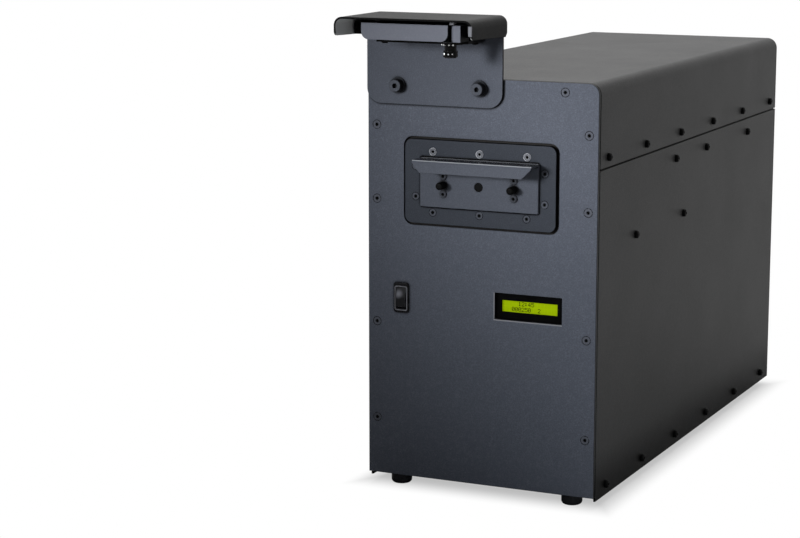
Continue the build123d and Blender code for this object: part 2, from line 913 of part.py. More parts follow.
# Drawer lock
solenoid_top = shelf_top + solenoid_height
plunger_bottom = shelf_top + solenoid_floor + plunger_seat_gap
with BuildPart() as lock_solenoid:
    block(
        (-solenoid_size / 2, lock_y - solenoid_size / 2, shelf_top),
        (solenoid_size / 2, lock_y + solenoid_size / 2, solenoid_top),
    )
    with Locations((0, lock_y, shelf_top + solenoid_floor)):
        Cylinder(
            plunger_diameter / 2 + plunger_fit, solenoid_height,
            align=(Align.CENTER, Align.CENTER, Align.MIN), mode=Mode.SUBTRACT,
        )
with BuildPart() as lock_plunger:
    with Locations((0, lock_y, plunger_bottom)):
        Cylinder(
            plunger_diameter / 2, plunger_top - plunger_bottom,
            align=(Align.CENTER, Align.CENTER, Align.MIN),
        )
    fillet(lock_plunger.edges().group_by(Axis.Z)[-1], plunger_diameter / 8)

# Heat sink and discharge switch on the shelf
with BuildPart() as heat_sink:
    block(
        (-sink_width / 2, sink_front, sink_base_bottom),
        (sink_width / 2, sink_front + sink_length, sink_top),
    )
    for x in spaced(-(sink_width - sink_fin) / 2, (sink_width - sink_fin) / 2, sink_fin_count):
        block(
            (x - sink_fin / 2, sink_front, shelf_top),
            (x + sink_fin / 2, sink_front + sink_length, sink_base_bottom),
        )
terminal_places = [(x, module_y, sink_top + switch_module_height) for x in strap_points]
with BuildPart() as discharge_switch:
    with Locations((0, module_y, sink_top)):
        Box(
            switch_module_width, switch_module_length, switch_module_height,
            align=(Align.CENTER, Align.CENTER, Align.MIN),
        )
    with Locations(*terminal_places):
        Cylinder(terminal_diameter / 2, terminal_height, align=(Align.CENTER, Align.CENTER, Align.MIN))

# Copper straps from the coil to the discharge switch
with BuildPart() as coil_straps:
    for x in strap_points:
        left, right = x - strap_width / 2, x + strap_width / 2
        strap_end = module_y + strap_width / 2
        block((left, coil_rear - strap_lap, coil_top), (right, strap_end, coil_top + strap_thickness))
        block(
            (left, strap_end - strap_thickness, terminal_top),
            (right, strap_end, coil_top + strap_thickness),
        )
        block(
            (left, module_y - strap_width / 2, terminal_top),
            (right, strap_end, terminal_top + strap_thickness),
        )

# Capacitor bank on the base
capacitor_y = front_y + capacitor_from_front
capacitor_places = [
    (side * capacitor_spacing_x / 2, capacitor_y + row * capacitor_spacing_y)
    for side in (-1, 1)
    for row in range(capacitor_rows)
]
capacitor_top = base_top + capacitor_height
post_offset = capacitor_diameter / 4
terminal_lines = [
    side * capacitor_spacing_x / 2 + shift for side in (-1, 1) for shift in (-post_offset, post_offset)
]
terminal_rows = [capacitor_y + row * capacitor_spacing_y for row in range(capacitor_rows)]
with BuildPart() as capacitor_bank:
    with Locations(*[(x, y, base_top) for x, y in capacitor_places]):
        Cylinder(
            capacitor_diameter / 2, capacitor_height, align=(Align.CENTER, Align.CENTER, Align.MIN)
        )
    fillet(capacitor_bank.edges().group_by(Axis.Z)[-1], capacitor_edge)
    with Locations(*[(x, y, capacitor_top) for x in terminal_lines for y in terminal_rows]):
        Cylinder(terminal_diameter / 2, terminal_height, align=(Align.CENTER, Align.CENTER, Align.MIN))

bus_bottom = capacitor_top + terminal_height
bus_rear = capacitor_y + (capacitor_rows - 1) * capacitor_spacing_y
with BuildPart() as bus_bars:
    for x in terminal_lines:
        block(
            (x - bus_width / 2, capacitor_y - bus_end, bus_bottom),
            (x + bus_width / 2, bus_rear + bus_end, bus_bottom + bus_thickness),
        )

plate_half = capacitor_spacing_x / 2 + capacitor_diameter / 2 + plate_margin + post_diameter
plate_front = capacitor_y - capacitor_diameter / 2 - plate_margin
plate_rear = bus_rear + capacitor_diameter / 2 + plate_margin
plate_bottom = base_top + post_height
plate_posts = [
    (side * (plate_half - post_diameter / 2), y)
    for side in (-1, 1)
    for y in (plate_front + post_diameter / 2, plate_rear - post_diameter / 2)
]
with BuildPart() as capacitor_plate:
    block((-plate_half, plate_front, plate_bottom), (plate_half, plate_rear, plate_bottom + sheet))
    with Locations(*[(x, y, plate_bottom) for x, y in capacitor_places]):
        Cylinder(capacitor_diameter / 2 + plate_hole_gap, 4 * sheet, mode=Mode.SUBTRACT)
with BuildPart() as capacitor_posts:
    with Locations(*[(x, y, base_top) for x, y in plate_posts]):
        Cylinder(post_diameter / 2, post_height, align=(Align.CENTER, Align.CENTER, Align.MIN))

# Transformer at the rear of the base
transformer_y = rear_y - transformer_from_rear
core_front = transformer_y - core_depth / 2
core_mid = base_top + core_height / 2
window_width = (core_width - 4 * core_leg) / 2
window_height = core_height - 2 * core_leg
window_offset = core_leg + window_width / 2
with BuildPart() as transformer_core:
    with BuildSketch(front_plane(core_front)):
        with Locations((0, core_mid)):
            Rectangle(core_width, core_height)
        with Locations((-window_offset, core_mid), (window_offset, core_mid)):
            Rectangle(window_width, window_height, mode=Mode.SUBTRACT)
    extrude(amount=-core_depth)
with BuildPart() as transformer_winding:
    with BuildSketch(Plane.XY.offset(core_mid - window_height / 2 + winding_gap)):
        with Locations((0, transformer_y)):
            Rectangle(
                2 * (core_leg + window_width - winding_gap), core_depth + 2 * winding_overhang
            )
            Rectangle(
                2 * (core_leg + winding_gap), core_depth + 2 * winding_gap, mode=Mode.SUBTRACT
            )
    extrude(amount=window_height - 2 * winding_gap)

# Control board behind the front panel
board_z = panel_bottom + board_level
board_front = panel_back + standoff_length
board_back = board_front + board_thickness
standoff_points = [
    (x * (board_width / 2 - standoff_inset), board_z + z * (board_height / 2 - standoff_inset))
    for x in (-1, 1)
    for z in (-1, 1)
]
with BuildPart() as standoffs:
    with Locations(*facing_rear(standoff_points, panel_back)):
        Cylinder(standoff_diameter / 2, standoff_length, align=(Align.CENTER, Align.CENTER, Align.MIN))
with BuildPart() as control_board:
    block(
        (-board_width / 2, board_front, board_z - board_height / 2),
        (board_width / 2, board_back, board_z + board_height / 2),
    )
# Each block on the board: middle across and up as shares of the half board, then width, height and depth
board_blocks = [
    (-0.55, 0.35, 40.0, 34.0, 28.0),
    (-0.55, -0.45, 30.0, 20.0, 16.0),
    (0.0, 0.4, 26.0, 26.0, 4.0),
    (0.05, -0.4, 34.0, 14.0, 12.0),
    (0.55, 0.3, 22.0, 22.0, 25.0),
    (0.6, -0.45, 28.0, 18.0, 10.0),
]
with BuildPart() as board_parts:
    for across, up, width, height, depth in board_blocks:
        x, z = across * board_width / 2, board_z + up * board_height / 2
        block(
            (x - width / 2, board_back, z - height / 2),
            (x + width / 2, board_back + depth, z + height / 2),
        )

# Display behind its window
bezel_back = panel_back + bezel_thickness
glass_back = bezel_back + glass_thickness
bezel_width = display_window_width + 2 * display_overlap
bezel_height = display_window_height + 2 * display_overlap
with BuildPart() as display_bezel:
    with BuildSketch(front_plane(panel_back)):
        with Locations((display_offset, controls_z)):
            Rectangle(bezel_width, bezel_height)
            Rectangle(view_width, view_height, mode=Mode.SUBTRACT)
    extrude(amount=-bezel_thickness)
with BuildPart() as display_glass:
    with BuildSketch(front_plane(bezel_back)):
        with Locations((display_offset, controls_z)):
            Rectangle(view_width + 2 * glass_margin, view_height + 2 * glass_margin)
    extrude(amount=-glass_thickness)
with BuildPart() as display_board:
    with BuildSketch(front_plane(glass_back)):
        with Locations((display_offset, controls_z)):
            Rectangle(bezel_width, bezel_height)
    extrude(amount=-board_thickness)

# Rocker switch
rocker_y = front_y + rocker_setback
pocket_half_width = rocker_width / 2 + rocker_side_gap
pocket_half_height = rocker_height / 2 + rocker_end_gap
rocker_tilt_angle = radians(-rocker_tilt)
rocker_plane = Plane(
    origin=(-switch_offset - rocker_width / 2, rocker_y, controls_z),
    x_dir=(0, cos(rocker_tilt_angle), sin(rocker_tilt_angle)),
    z_dir=(1, 0, 0),
)
rocker_axis = Location((-switch_offset, rocker_y, controls_z), (0, 90, 0))
with BuildPart() as switch_housing:
    with BuildSketch(front_plane(front_y - switch_bezel_proud)):
        with Locations((-switch_offset, controls_z)):
            RectangleRounded(switch_bezel_width, switch_bezel_height, switch_bezel_corner)
    extrude(amount=-switch_bezel_proud)
    fillet(switch_housing.faces().sort_by(Axis.Y)[0].outer_wire().edges(), switch_bezel_proud / 3)
    switch_centre = (-switch_offset, front_y - switch_bezel_proud, controls_z)
    with Locations((-switch_offset, front_y, controls_z)):
        Box(
            switch_body_width, switch_body_depth, switch_body_height,
            align=(Align.CENTER, Align.MIN, Align.CENTER),
        )
    with Locations(switch_centre):
        Box(
            2 * pocket_half_width, rocker_pocket + switch_bezel_proud, 2 * pocket_half_height,
            align=(Align.CENTER, Align.MIN, Align.CENTER), mode=Mode.SUBTRACT,
        )
    with Locations(rocker_axis):
        Cylinder(
            rocker_pin / 2 + rocker_pin_fit,
            rocker_width + 2 * (rocker_pin_length + pin_end_gap), mode=Mode.SUBTRACT,
        )
with BuildPart() as switch_rocker:
    with BuildSketch(rocker_plane):
        with BuildLine():
            Polyline(
                (-rocker_end, rocker_height / 2),
                (-rocker_crown, 0),
                (-rocker_end, -rocker_height / 2),
                (0, -rocker_height / 2),
                (rocker_back, -rocker_height / 4),
                (rocker_back, rocker_height / 4),
                (0, rocker_height / 2),
                close=True,
            )
        make_face()
    extrude(amount=rocker_width)
    with Locations(rocker_axis):
        Cylinder(rocker_pin / 2, rocker_width + 2 * rocker_pin_length)

# Cooling fan on the rear panel
fan_plane = Plane(origin=(0, rear_inner - fan_depth, fan_z), x_dir=(1, 0, 0), z_dir=(0, 1, 0))
hub_start = fan_strut_depth + fan_axial_gap
with BuildPart(fan_plane) as fan_frame:
    with BuildSketch(fan_plane):
        RectangleRounded(fan_size, fan_size, fan_corner)
        Circle(fan_bore / 2, mode=Mode.SUBTRACT)
        with GridLocations(2 * fan_screw_offset, 2 * fan_screw_offset, 2, 2):
            Circle(fan_hole / 2, mode=Mode.SUBTRACT)
    extrude(amount=fan_depth)
    with BuildSketch(fan_plane):
        Circle(fan_hub / 2)
        Rectangle(fan_bore + fan_strut_depth, fan_strut)
        Rectangle(fan_strut, fan_bore + fan_strut_depth)
    extrude(amount=fan_strut_depth)
    Cylinder(
        fan_shaft / 2, hub_start + fan_hub_length - fan_cup,
        align=(Align.CENTER, Align.CENTER, Align.MIN),
    )
blade_root = fan_hub / 2 - fan_cup
blade_tip = fan_bore / 2 - fan_tip_gap
hub_plane = fan_plane.offset(hub_start)
with BuildPart(hub_plane) as fan_rotor:
    Cylinder(fan_hub / 2, fan_hub_length, align=(Align.CENTER, Align.CENTER, Align.MIN))
    with Locations((0, 0, fan_hub_length / 2)):
        with PolarLocations((blade_root + blade_tip) / 2, fan_blades):
            Box(blade_tip - blade_root, fan_chord, fan_blade_thickness, rotation=(fan_pitch, 0, 0))
    Cylinder(
        fan_shaft / 2 + fan_shaft_fit, fan_hub_length - fan_cup / 2,
        align=(Align.CENTER, Align.CENTER, Align.MIN), mode=Mode.SUBTRACT,
    )
    with BuildSketch(hub_plane):
        Circle(fan_bore / 2 + fan_tip_gap)
        Circle(blade_tip, mode=Mode.SUBTRACT)
    extrude(amount=fan_hub_length, both=True, mode=Mode.SUBTRACT)
spoke_inner = fan_hub / 4
spoke_outer = 2**0.5 * fan_screw_offset
with BuildPart() as fan_guard:
    with BuildSketch(fan_plane.offset(fan_depth + sheet)):
        for radius in spaced(fan_bore / 2 - guard_ring, spoke_inner, guard_rings):
            Circle(radius + guard_ring / 2)
            Circle(radius - guard_ring / 2, mode=Mode.SUBTRACT)
        with PolarLocations((spoke_inner + spoke_outer) / 2, 4, start_angle=45):
            Rectangle(spoke_outer - spoke_inner, 2 * guard_ring)
        with GridLocations(2 * fan_screw_offset, 2 * fan_screw_offset, 2, 2):
            Circle(fan_screw_head / 2 + guard_ring / 2)
            Circle(fan_hole / 2, mode=Mode.SUBTRACT)
    extrude(amount=guard_thickness)
fan_screw = headed_screw(
    fan_screw_head, fan_screw_height, fan_screw_shank, fan_screw_length,
    socket_width, fan_screw_height / 2, fan_screw_height / 2,
)
with BuildPart() as fan_screws:
    with Locations(*facing_rear(fan_screw_points, rear_y + guard_thickness)):
        add(fan_screw)

# Power inlet and data jack
socket_floor = rear_y + inlet_flange_thickness - inlet_socket_depth
with BuildPart() as power_inlet:
    with Locations((-inlet_offset, rear_y, inlet_z)):
        Box(
            inlet_flange_width, inlet_flange_thickness, inlet_flange_height,
            align=(Align.CENTER, Align.MIN, Align.CENTER),
        )
        fillet(power_inlet.edges().filter_by(Axis.Y), inlet_flange_thickness)
        Box(
            inlet_body_width, inlet_body_depth, inlet_body_height,
            align=(Align.CENTER, Align.MAX, Align.CENTER),
        )
    with Locations((-inlet_offset, socket_floor, inlet_z)):
        Box(
            inlet_socket_width, inlet_socket_depth, inlet_socket_height,
            align=(Align.CENTER, Align.MIN, Align.CENTER), mode=Mode.SUBTRACT,
        )
inlet_pin_places = [
    (-inlet_offset - pin_spacing / 2, inlet_z - pin_low_drop),
    (-inlet_offset, inlet_z + pin_high_rise),
    (-inlet_offset + pin_spacing / 2, inlet_z - pin_low_drop),
]
with BuildPart() as inlet_pins:
    for x, z in inlet_pin_places:
        block(
            (x - pin_width / 2, socket_floor, z - pin_height / 2),
            (x + pin_width / 2, socket_floor + pin_length, z + pin_height / 2),
        )
jack_face = rear_y + jack_flange_thickness
with BuildPart() as data_jack:
    with Locations((jack_offset, rear_y, inlet_z)):
        Box(jack_width, jack_depth, jack_height, align=(Align.CENTER, Align.MAX, Align.CENTER))
        Box(
            jack_width + 2 * jack_flange, jack_flange_thickness, jack_height + 2 * jack_flange,
            align=(Align.CENTER, Align.MIN, Align.CENTER),
        )
    with Locations((jack_offset, jack_face, inlet_z)):
        Box(
            jack_socket_width, jack_socket_depth, jack_socket_height,
            align=(Align.CENTER, Align.MAX, Align.CENTER), mode=Mode.SUBTRACT,
        )

# Bracket on the front panel that carries the hood
bracket_bottom = top_z - bracket_below_top
step_z = hood_top - hood_side - bracket_step_gap
shoulder_z = hood_top - hood_bend - bracket_step_gap
tongue_half = hood_width / 2 - hood_bend - bracket_tongue_gap
camera_right = camera_x + camera_width
shelf_left = camera_x + label_corner
shelf_edge = front_y - bracket_shelf_reach
camera_screw_places = [
    (camera_x + camera_screw_far_inset, front_y - camera_screw_far_reach),
    (camera_right - camera_screw_inset, front_y - camera_screw_reach),
]
hood_screw_z = hood_top - hood_lip_height / 2
hood_screw_half = tongue_half - hood_screw_inset
hood_screw_points = [(hood_mid + side * hood_screw_half, hood_screw_z) for side in (-1, 1)]
wing_front = front_y - wing_reach
wing_half = hood_width / 2 - hood_sheet - wing_gap
wing_left, wing_bottom = hood_mid - wing_half, camera_bottom + wing_lift
wing_screw_point = (wing_left + wing_screw_from_end, wing_bottom + wing_screw_rise)
with BuildPart() as hood_bracket:
    with BuildSketch(front_plane(bracket_front)) as bracket_outline:
        with Locations((bracket_mid, (bracket_bottom + step_z) / 2)):
            Rectangle(bracket_width, step_z - bracket_bottom)
        fillet(bracket_outline.vertices().group_by(Axis.Y)[0], bracket_corner)
        upper_bottom = bracket_bottom + bracket_corner
        with Locations((hood_mid, (upper_bottom + hood_under) / 2)):
            Rectangle(2 * tongue_half, hood_under - upper_bottom)
        with Locations(((hood_mid + bracket_right) / 2, (upper_bottom + shoulder_z) / 2)):
            Rectangle(bracket_right - hood_mid, shoulder_z - upper_bottom)
    extrude(amount=-bracket_thickness)
    block(
        (shelf_left, shelf_edge, camera_bottom - bracket_thickness),
        (camera_right, bracket_front, camera_bottom),
    )
    drill_through(bolt_points, bracket_front, bolt_hole, bracket_thickness)
    drill_through(hood_screw_points, bracket_front, hood_screw_hole, bracket_thickness)
    with Locations(*[(x, y, camera_bottom) for x, y in camera_screw_places]):
        Cylinder(hood_screw_hole / 2, 4 * bracket_thickness, mode=Mode.SUBTRACT)

# Folded hood over the camera
with BuildPart() as hood_cover:
    hood_section = channel_section(
        front_plane(hood_front), hood_mid, hood_width / 2, hood_top, hood_top - hood_side,
        hood_bend, hood_sheet,
    )
    extrude(hood_section, amount=-(hood_reach + hood_rear))
    block(
        (hood_mid - tongue_half, front_y, hood_top - hood_lip_height),
        (hood_mid + tongue_half, front_y + hood_rear, hood_under),
    )
    flange_low, flange_high = hood_top - hood_side, hood_top - hood_front_side
    with BuildSketch(Plane.YZ.offset(hood_mid)):
        with BuildLine():
            Polyline(
                (hood_front, flange_low),
                (hood_front, flange_high),
                (front_y + hood_rear, flange_low),
                close=True,
            )
        make_face()
    extrude(amount=hood_width, both=True, mode=Mode.SUBTRACT)
    flange_ends = hood_cover.edges().filter_by(Axis.X).filter_by_position(
        Axis.Z, flange_low - hood_sheet, flange_high + hood_sheet / 2
    )
    chamfer(flange_ends.group_by(Axis.Y)[-1], hood_lip_corner)
    flange_ends = hood_cover.edges().filter_by(Axis.X).filter_by_position(
        Axis.Z, flange_high - hood_sheet / 2, flange_high + hood_sheet / 2
    )
    fillet(flange_ends.group_by(Axis.Y)[0], hood_corner)
    drill_through(hood_screw_points, front_y, hood_screw_hole, hood_rear)

# Bolts with washers through the bracket, and the hood's small screws
with BuildPart() as bolt:
    Cylinder(washer_diameter / 2, washer_thickness, align=(Align.CENTER, Align.CENTER, Align.MIN))
    with Locations((0, 0, washer_thickness)):
        Cylinder(bolt_head / 2, bolt_head_height, align=(Align.CENTER, Align.CENTER, Align.MIN))
    fillet(bolt.edges().group_by(Axis.Z)[-1], bolt_head_height / 8)
    Cylinder(bolt_shank / 2, bolt_length, align=(Align.CENTER, Align.CENTER, Align.MAX))
    with BuildSketch(Plane.XY.offset(washer_thickness + bolt_head_height)):
        RegularPolygon(bolt_socket / 2, 6)
    extrude(amount=-bolt_socket_depth, mode=Mode.SUBTRACT)
with BuildPart() as hood_bolts:
    with Locations(*facing_front(bolt_points, bracket_front)):
        add(bolt.part)
hood_screw = headed_screw(
    hood_screw_head, hood_screw_height, hood_screw_shank, hood_rear + bracket_thickness - screw_tip_gap,
    socket_width, hood_screw_height / 2, hood_screw_height / 3,
)
camera_screw = headed_screw(
    hood_screw_head, hood_screw_height, hood_screw_shank, camera_screw_length,
    socket_width, hood_screw_height / 2, hood_screw_height / 3,
)
with BuildPart() as hood_screws:
    with Locations(*facing_rear(hood_screw_points, front_y + hood_rear)):
        add(hood_screw)
    with Locations(*[
        Location((x, y, camera_bottom - bracket_thickness), (180, 0, 0)) for x, y in camera_screw_places
    ]):
        add(camera_screw)
    with Locations(*facing_front([wing_screw_point], wing_front)):
        add(camera_screw)

# Camera housing, with wings to the hood's sides and a sole under its front
label_right = camera_x + label_width
with BuildPart() as camera_housing:
    block((camera_x, camera_face, camera_bottom), (camera_right, bracket_front, camera_top))
    low_edges = camera_housing.edges().filter_by(Axis.Y).group_by(Axis.Z)[0]
    fillet(low_edges.sort_by(Axis.X)[0], label_corner)
    block(
        (wing_left, wing_front, wing_bottom),
        (hood_mid + wing_half, bracket_front, camera_top),
    )
    block(
        (camera_x + sole_from_left, camera_face, camera_bottom - sole_thickness),
        (camera_right, shelf_edge - sole_gap, camera_bottom),
    )
    with Locations((lens_x, lens_y, camera_bottom)):
        Cylinder(
            lens_collar / 2 + sole_gap, lens_collar_height,
            align=(Align.CENTER, Align.CENTER, Align.MAX), mode=Mode.SUBTRACT,
        )
    with Locations(*[(x, y, camera_bottom) for x, y in camera_screw_places]):
        Cylinder(hood_screw_hole / 2, 2 * camera_screw_length, mode=Mode.SUBTRACT)
    drill_through([wing_screw_point], wing_front, hood_screw_hole, camera_screw_length + screw_tip_gap)
    block(
        (label_right, camera_face, camera_bottom),
        (camera_right, camera_face + module_depth, camera_top),
        mode=Mode.SUBTRACT,
    )
with BuildPart() as label_plate:
    with BuildSketch(front_plane(camera_face)) as label_outline:
        with Locations((camera_x + label_width / 2, camera_bottom + camera_height / 2)):
            Rectangle(label_width, camera_height)
        fillet(label_outline.vertices().group_by(Axis.Y)[0], label_corner)
    extrude(amount=label_thickness)
with BuildPart() as camera_module:
    block(
        (label_right + module_gap, camera_face - label_thickness, camera_bottom),
        (camera_right, camera_face + module_depth, camera_top),
    )
    front_edges = camera_module.edges().filter_by(Axis.Z).group_by(Axis.Y)[0]
    fillet(front_edges.sort_by(Axis.X)[0], module_round)

# Lens that looks down, with its lock ring
lens_bottom = camera_bottom - lens_length
with BuildPart() as camera_lens:
    with Locations((lens_x, lens_y, camera_bottom)):
        Cylinder(lens_collar / 2, lens_collar_height, align=(Align.CENTER, Align.CENTER, Align.MAX))
        Cylinder(lens_neck / 2, lens_length, align=(Align.CENTER, Align.CENTER, Align.MAX))
    with Locations((lens_x, lens_y, lens_bottom)):
        Cylinder(lens_cup / 2, 2 * lens_cup_depth, mode=Mode.SUBTRACT)
with BuildPart() as lens_ring:
    with Locations((lens_x, lens_y, lens_bottom + ring_from_end)):
        Cylinder(ring_diameter / 2, ring_height, align=(Align.CENTER, Align.CENTER, Align.MIN))
        Cylinder(
            lens_neck / 2 + ring_fit, ring_height,
            align=(Align.CENTER, Align.CENTER, Align.MIN), mode=Mode.SUBTRACT,
        )

pieces = {
    "front_panel": front_panel,
    "front_frame": front_frame,
    "base_plate": base_plate,
    "left_side_panel": left_side_panel,
    "right_side_panel": right_side_panel,
    "top_cover": top_cover,
    "rear_panel": rear_panel,
    "left_side_rail": left_side_rail,
    "right_side_rail": right_side_rail,
    "rubber_feet": rubber_feet,
    "cover_screws": cover_screws,
    "side_panel_screws": side_panel_screws,
    "front_panel_screws": front_panel_screws,
    "aperture_plate": aperture_plate,
    "aperture_screws": aperture_screws,
    "drawer_front": drawer_front,
    "drawer_pegs": drawer_pegs,
    "drawer_tray": drawer_tray,
    "drawer_screws": drawer_screws,
    "drawer_rails": drawer_rails,
    "coil_bobbin": coil_bobbin,
    "degauss_coil": degauss_coil,
    "coil_shelf": coil_shelf,
    "lock_solenoid": lock_solenoid,
    "lock_plunger": lock_plunger,
    "heat_sink": heat_sink,
    "discharge_switch": discharge_switch,
    "coil_straps": coil_straps,
    "capacitor_bank": capacitor_bank,
    "bus_bars": bus_bars,
    "capacitor_plate": capacitor_plate,
    "capacitor_posts": capacitor_posts,
    "transformer_core": transformer_core,
    "transformer_winding": transformer_winding,
    "standoffs": standoffs,
    "control_board": control_board,
    "board_parts": board_parts,
    "display_bezel": display_bezel,
    "display_glass": display_glass,
    "display_board": display_board,
    "switch_housing": switch_housing,
    "switch_rocker": switch_rocker,
    "fan_frame": fan_frame,
    "fan_rotor": fan_rotor,
    "fan_guard": fan_guard,
    "fan_screws": fan_screws,
    "power_inlet": power_inlet,
    "inlet_pins": inlet_pins,
    "data_jack": data_jack,
    "hood_bracket": hood_bracket,
    "hood_cover": hood_cover,
    "hood_bolts": hood_bolts,
    "hood_screws": hood_screws,
    "camera_housing": camera_housing,
    "label_plate": label_plate,
    "camera_module": camera_module,
    "camera_lens": camera_lens,
    "lens_ring": lens_ring,
}

os.makedirs("parts", exist_ok=True)
for name, piece in pieces.items():
    piece.part.label = name
    export_step(piece.part, f"parts/{name}.step")
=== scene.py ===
import json
from math import atan2, cos, pi, radians, sin

import bmesh
import bpy
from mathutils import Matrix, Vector

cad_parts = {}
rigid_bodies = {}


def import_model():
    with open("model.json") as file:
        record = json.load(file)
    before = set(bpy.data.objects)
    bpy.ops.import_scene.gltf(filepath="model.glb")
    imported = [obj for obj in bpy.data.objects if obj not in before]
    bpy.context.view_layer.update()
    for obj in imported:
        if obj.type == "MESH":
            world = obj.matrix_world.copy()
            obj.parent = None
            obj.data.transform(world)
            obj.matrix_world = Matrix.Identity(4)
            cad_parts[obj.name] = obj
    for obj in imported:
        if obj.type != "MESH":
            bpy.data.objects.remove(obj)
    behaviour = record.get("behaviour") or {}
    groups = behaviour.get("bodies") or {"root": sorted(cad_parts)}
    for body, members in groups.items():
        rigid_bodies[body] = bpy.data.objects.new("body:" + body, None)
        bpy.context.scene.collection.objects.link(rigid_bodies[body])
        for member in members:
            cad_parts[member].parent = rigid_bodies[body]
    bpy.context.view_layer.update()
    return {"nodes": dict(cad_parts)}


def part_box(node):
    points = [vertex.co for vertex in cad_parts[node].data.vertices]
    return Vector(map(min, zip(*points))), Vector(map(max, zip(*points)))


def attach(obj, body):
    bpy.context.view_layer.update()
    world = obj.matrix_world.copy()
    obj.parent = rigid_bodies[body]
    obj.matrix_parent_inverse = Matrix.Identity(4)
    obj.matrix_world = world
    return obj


for leftover in list(bpy.data.objects):  # the start-up cube, lamp and camera
    bpy.data.objects.remove(leftover)
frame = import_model()
nodes = frame["nodes"]


# small helpers for node trees

def feed(tree, value, socket):  # a link for a socket, else a plain value
    if isinstance(value, bpy.types.NodeSocket):
        tree.links.new(value, socket)
    else:
        socket.default_value = value


def addNode(tree, kind, inputs=None, **settings):
    node = tree.nodes.new(kind)
    for key, value in settings.items():
        setattr(node, key, value)
    for key, value in (inputs or {}).items():
        feed(tree, value, node.inputs[key])
    return node


def mixColor(tree, factor, first, second):
    node = addNode(tree, "ShaderNodeMix", data_type="RGBA")
    feed(tree, factor, node.inputs[0])
    feed(tree, first, node.inputs[6])
    feed(tree, second, node.inputs[7])
    return node.outputs[2]


def calc(tree, operation, first, second=0.0):
    node = addNode(tree, "ShaderNodeMath", operation=operation)
    feed(tree, first, node.inputs[0])
    feed(tree, second, node.inputs[1])
    return node.outputs[0]


def remap(tree, value, low, high, newLow=0.0, newHigh=1.0, smooth=False):
    node = addNode(tree, "ShaderNodeMapRange", interpolation_type="SMOOTHSTEP" if smooth else "LINEAR")
    for place, item in enumerate((value, low, high, newLow, newHigh)):
        feed(tree, item, node.inputs[place])
    return node.outputs[0]


def noise(tree, vector, scale, detail=2.0, roughness=0.5):
    node = addNode(tree, "ShaderNodeTexNoise", {"Vector": vector, "Scale": scale, "Detail": detail})
    node.inputs["Roughness"].default_value = roughness
    return node.outputs[0]


def objectPoint(tree):
    return addNode(tree, "ShaderNodeTexCoord").outputs["Object"]


def startGroup(name, inputs, outputs):
    group = bpy.data.node_groups.new(name, "ShaderNodeTree")
    for label, kind, value in inputs:
        socket = group.interface.new_socket(label, in_out="INPUT", socket_type="NodeSocket" + kind)
        socket.default_value = value
    for label, kind in outputs:
        group.interface.new_socket(label, in_out="OUTPUT", socket_type="NodeSocket" + kind)
    return group, group.nodes.new("NodeGroupInput"), group.nodes.new("NodeGroupOutput")


def useGroup(tree, group, values):
    node = addNode(tree, "ShaderNodeGroup", node_tree=group)
    for key, value in values.items():
        feed(tree, value, node.inputs[key])
    return node.outputs


# effects that several finishes share; a noise pair is its detail and roughness, a span is a remap's limits

powder = {
    "speckleNoise": (3.0, 0.65), "mottleNoise": (3.0, 0.6), "pimpleNoise": (2.0, 0.5), "mottleScale": 0.22,
    "pimpleScale": 1.6, "fleckSpan": (0.42, 0.68), "cloudSpan": (0.3, 0.7, 0.35, 1.0), "mottleHeight": 0.8,
}


def makePowderGrain():  # the fine pimples and flecks of baked powder coat
    group, source, result = startGroup(
        "powderGrain",
        [("Color", "Color", (0.05, 0.05, 0.05, 1)), ("Fleck", "Color", (0.1, 0.1, 0.1, 1)),
         ("Scale", "Float", 900.0), ("Amount", "Float", 0.5)],
        [("Color", "Color"), ("Height", "Float")],
    )
    point = objectPoint(group)
    coarse = calc(group, "MULTIPLY", source.outputs["Scale"], powder["mottleScale"])
    fine = calc(group, "MULTIPLY", source.outputs["Scale"], powder["pimpleScale"])
    speckle = noise(group, point, source.outputs["Scale"], *powder["speckleNoise"])
    mottle = noise(group, point, coarse, *powder["mottleNoise"])
    fleck = remap(group, speckle, *powder["fleckSpan"])
    cloud = remap(group, mottle, *powder["cloudSpan"])
    mask = calc(group, "MULTIPLY", calc(group, "MULTIPLY", fleck, cloud), source.outputs["Amount"])
    color = mixColor(group, mask, source.outputs["Color"], source.outputs["Fleck"])
    pimple = noise(group, point, fine, *powder["pimpleNoise"])
    swell = calc(group, "MULTIPLY", mottle, powder["mottleHeight"])
    feed(group, color, result.inputs["Color"])
    feed(group, calc(group, "ADD", pimple, swell), result.inputs["Height"])
    return group


wiping = {"cloudNoise": (5.0, 0.6), "middle": 0.5, "toneSpan": (0.3, 0.7)}


def makeWipedSheen():  # faint uneven gloss where a surface has been handled and wiped
    group, source, result = startGroup(
        "wipedSheen",
        [("Roughness", "Float", 0.5), ("Spread", "Float", 0.1), ("Scale", "Float", 18.0)],
        [("Roughness", "Float"), ("Tone", "Float")],
    )
    point = objectPoint(group)
    cloud = noise(group, point, source.outputs["Scale"], *wiping["cloudNoise"])
    centred = calc(group, "SUBTRACT", cloud, wiping["middle"])
    shift = calc(group, "MULTIPLY", centred, source.outputs["Spread"])
    feed(group, calc(group, "ADD", source.outputs["Roughness"], shift), result.inputs["Roughness"])
    feed(group, remap(group, cloud, *wiping["toneSpan"]), result.inputs["Tone"])
    return group


edgeMaskLimits = {"samples": 4, "edgeSpan": (0.995, 0.86), "chipNoise": (4.0, 0.7), "chipSpan": (0.4, 0.62)}


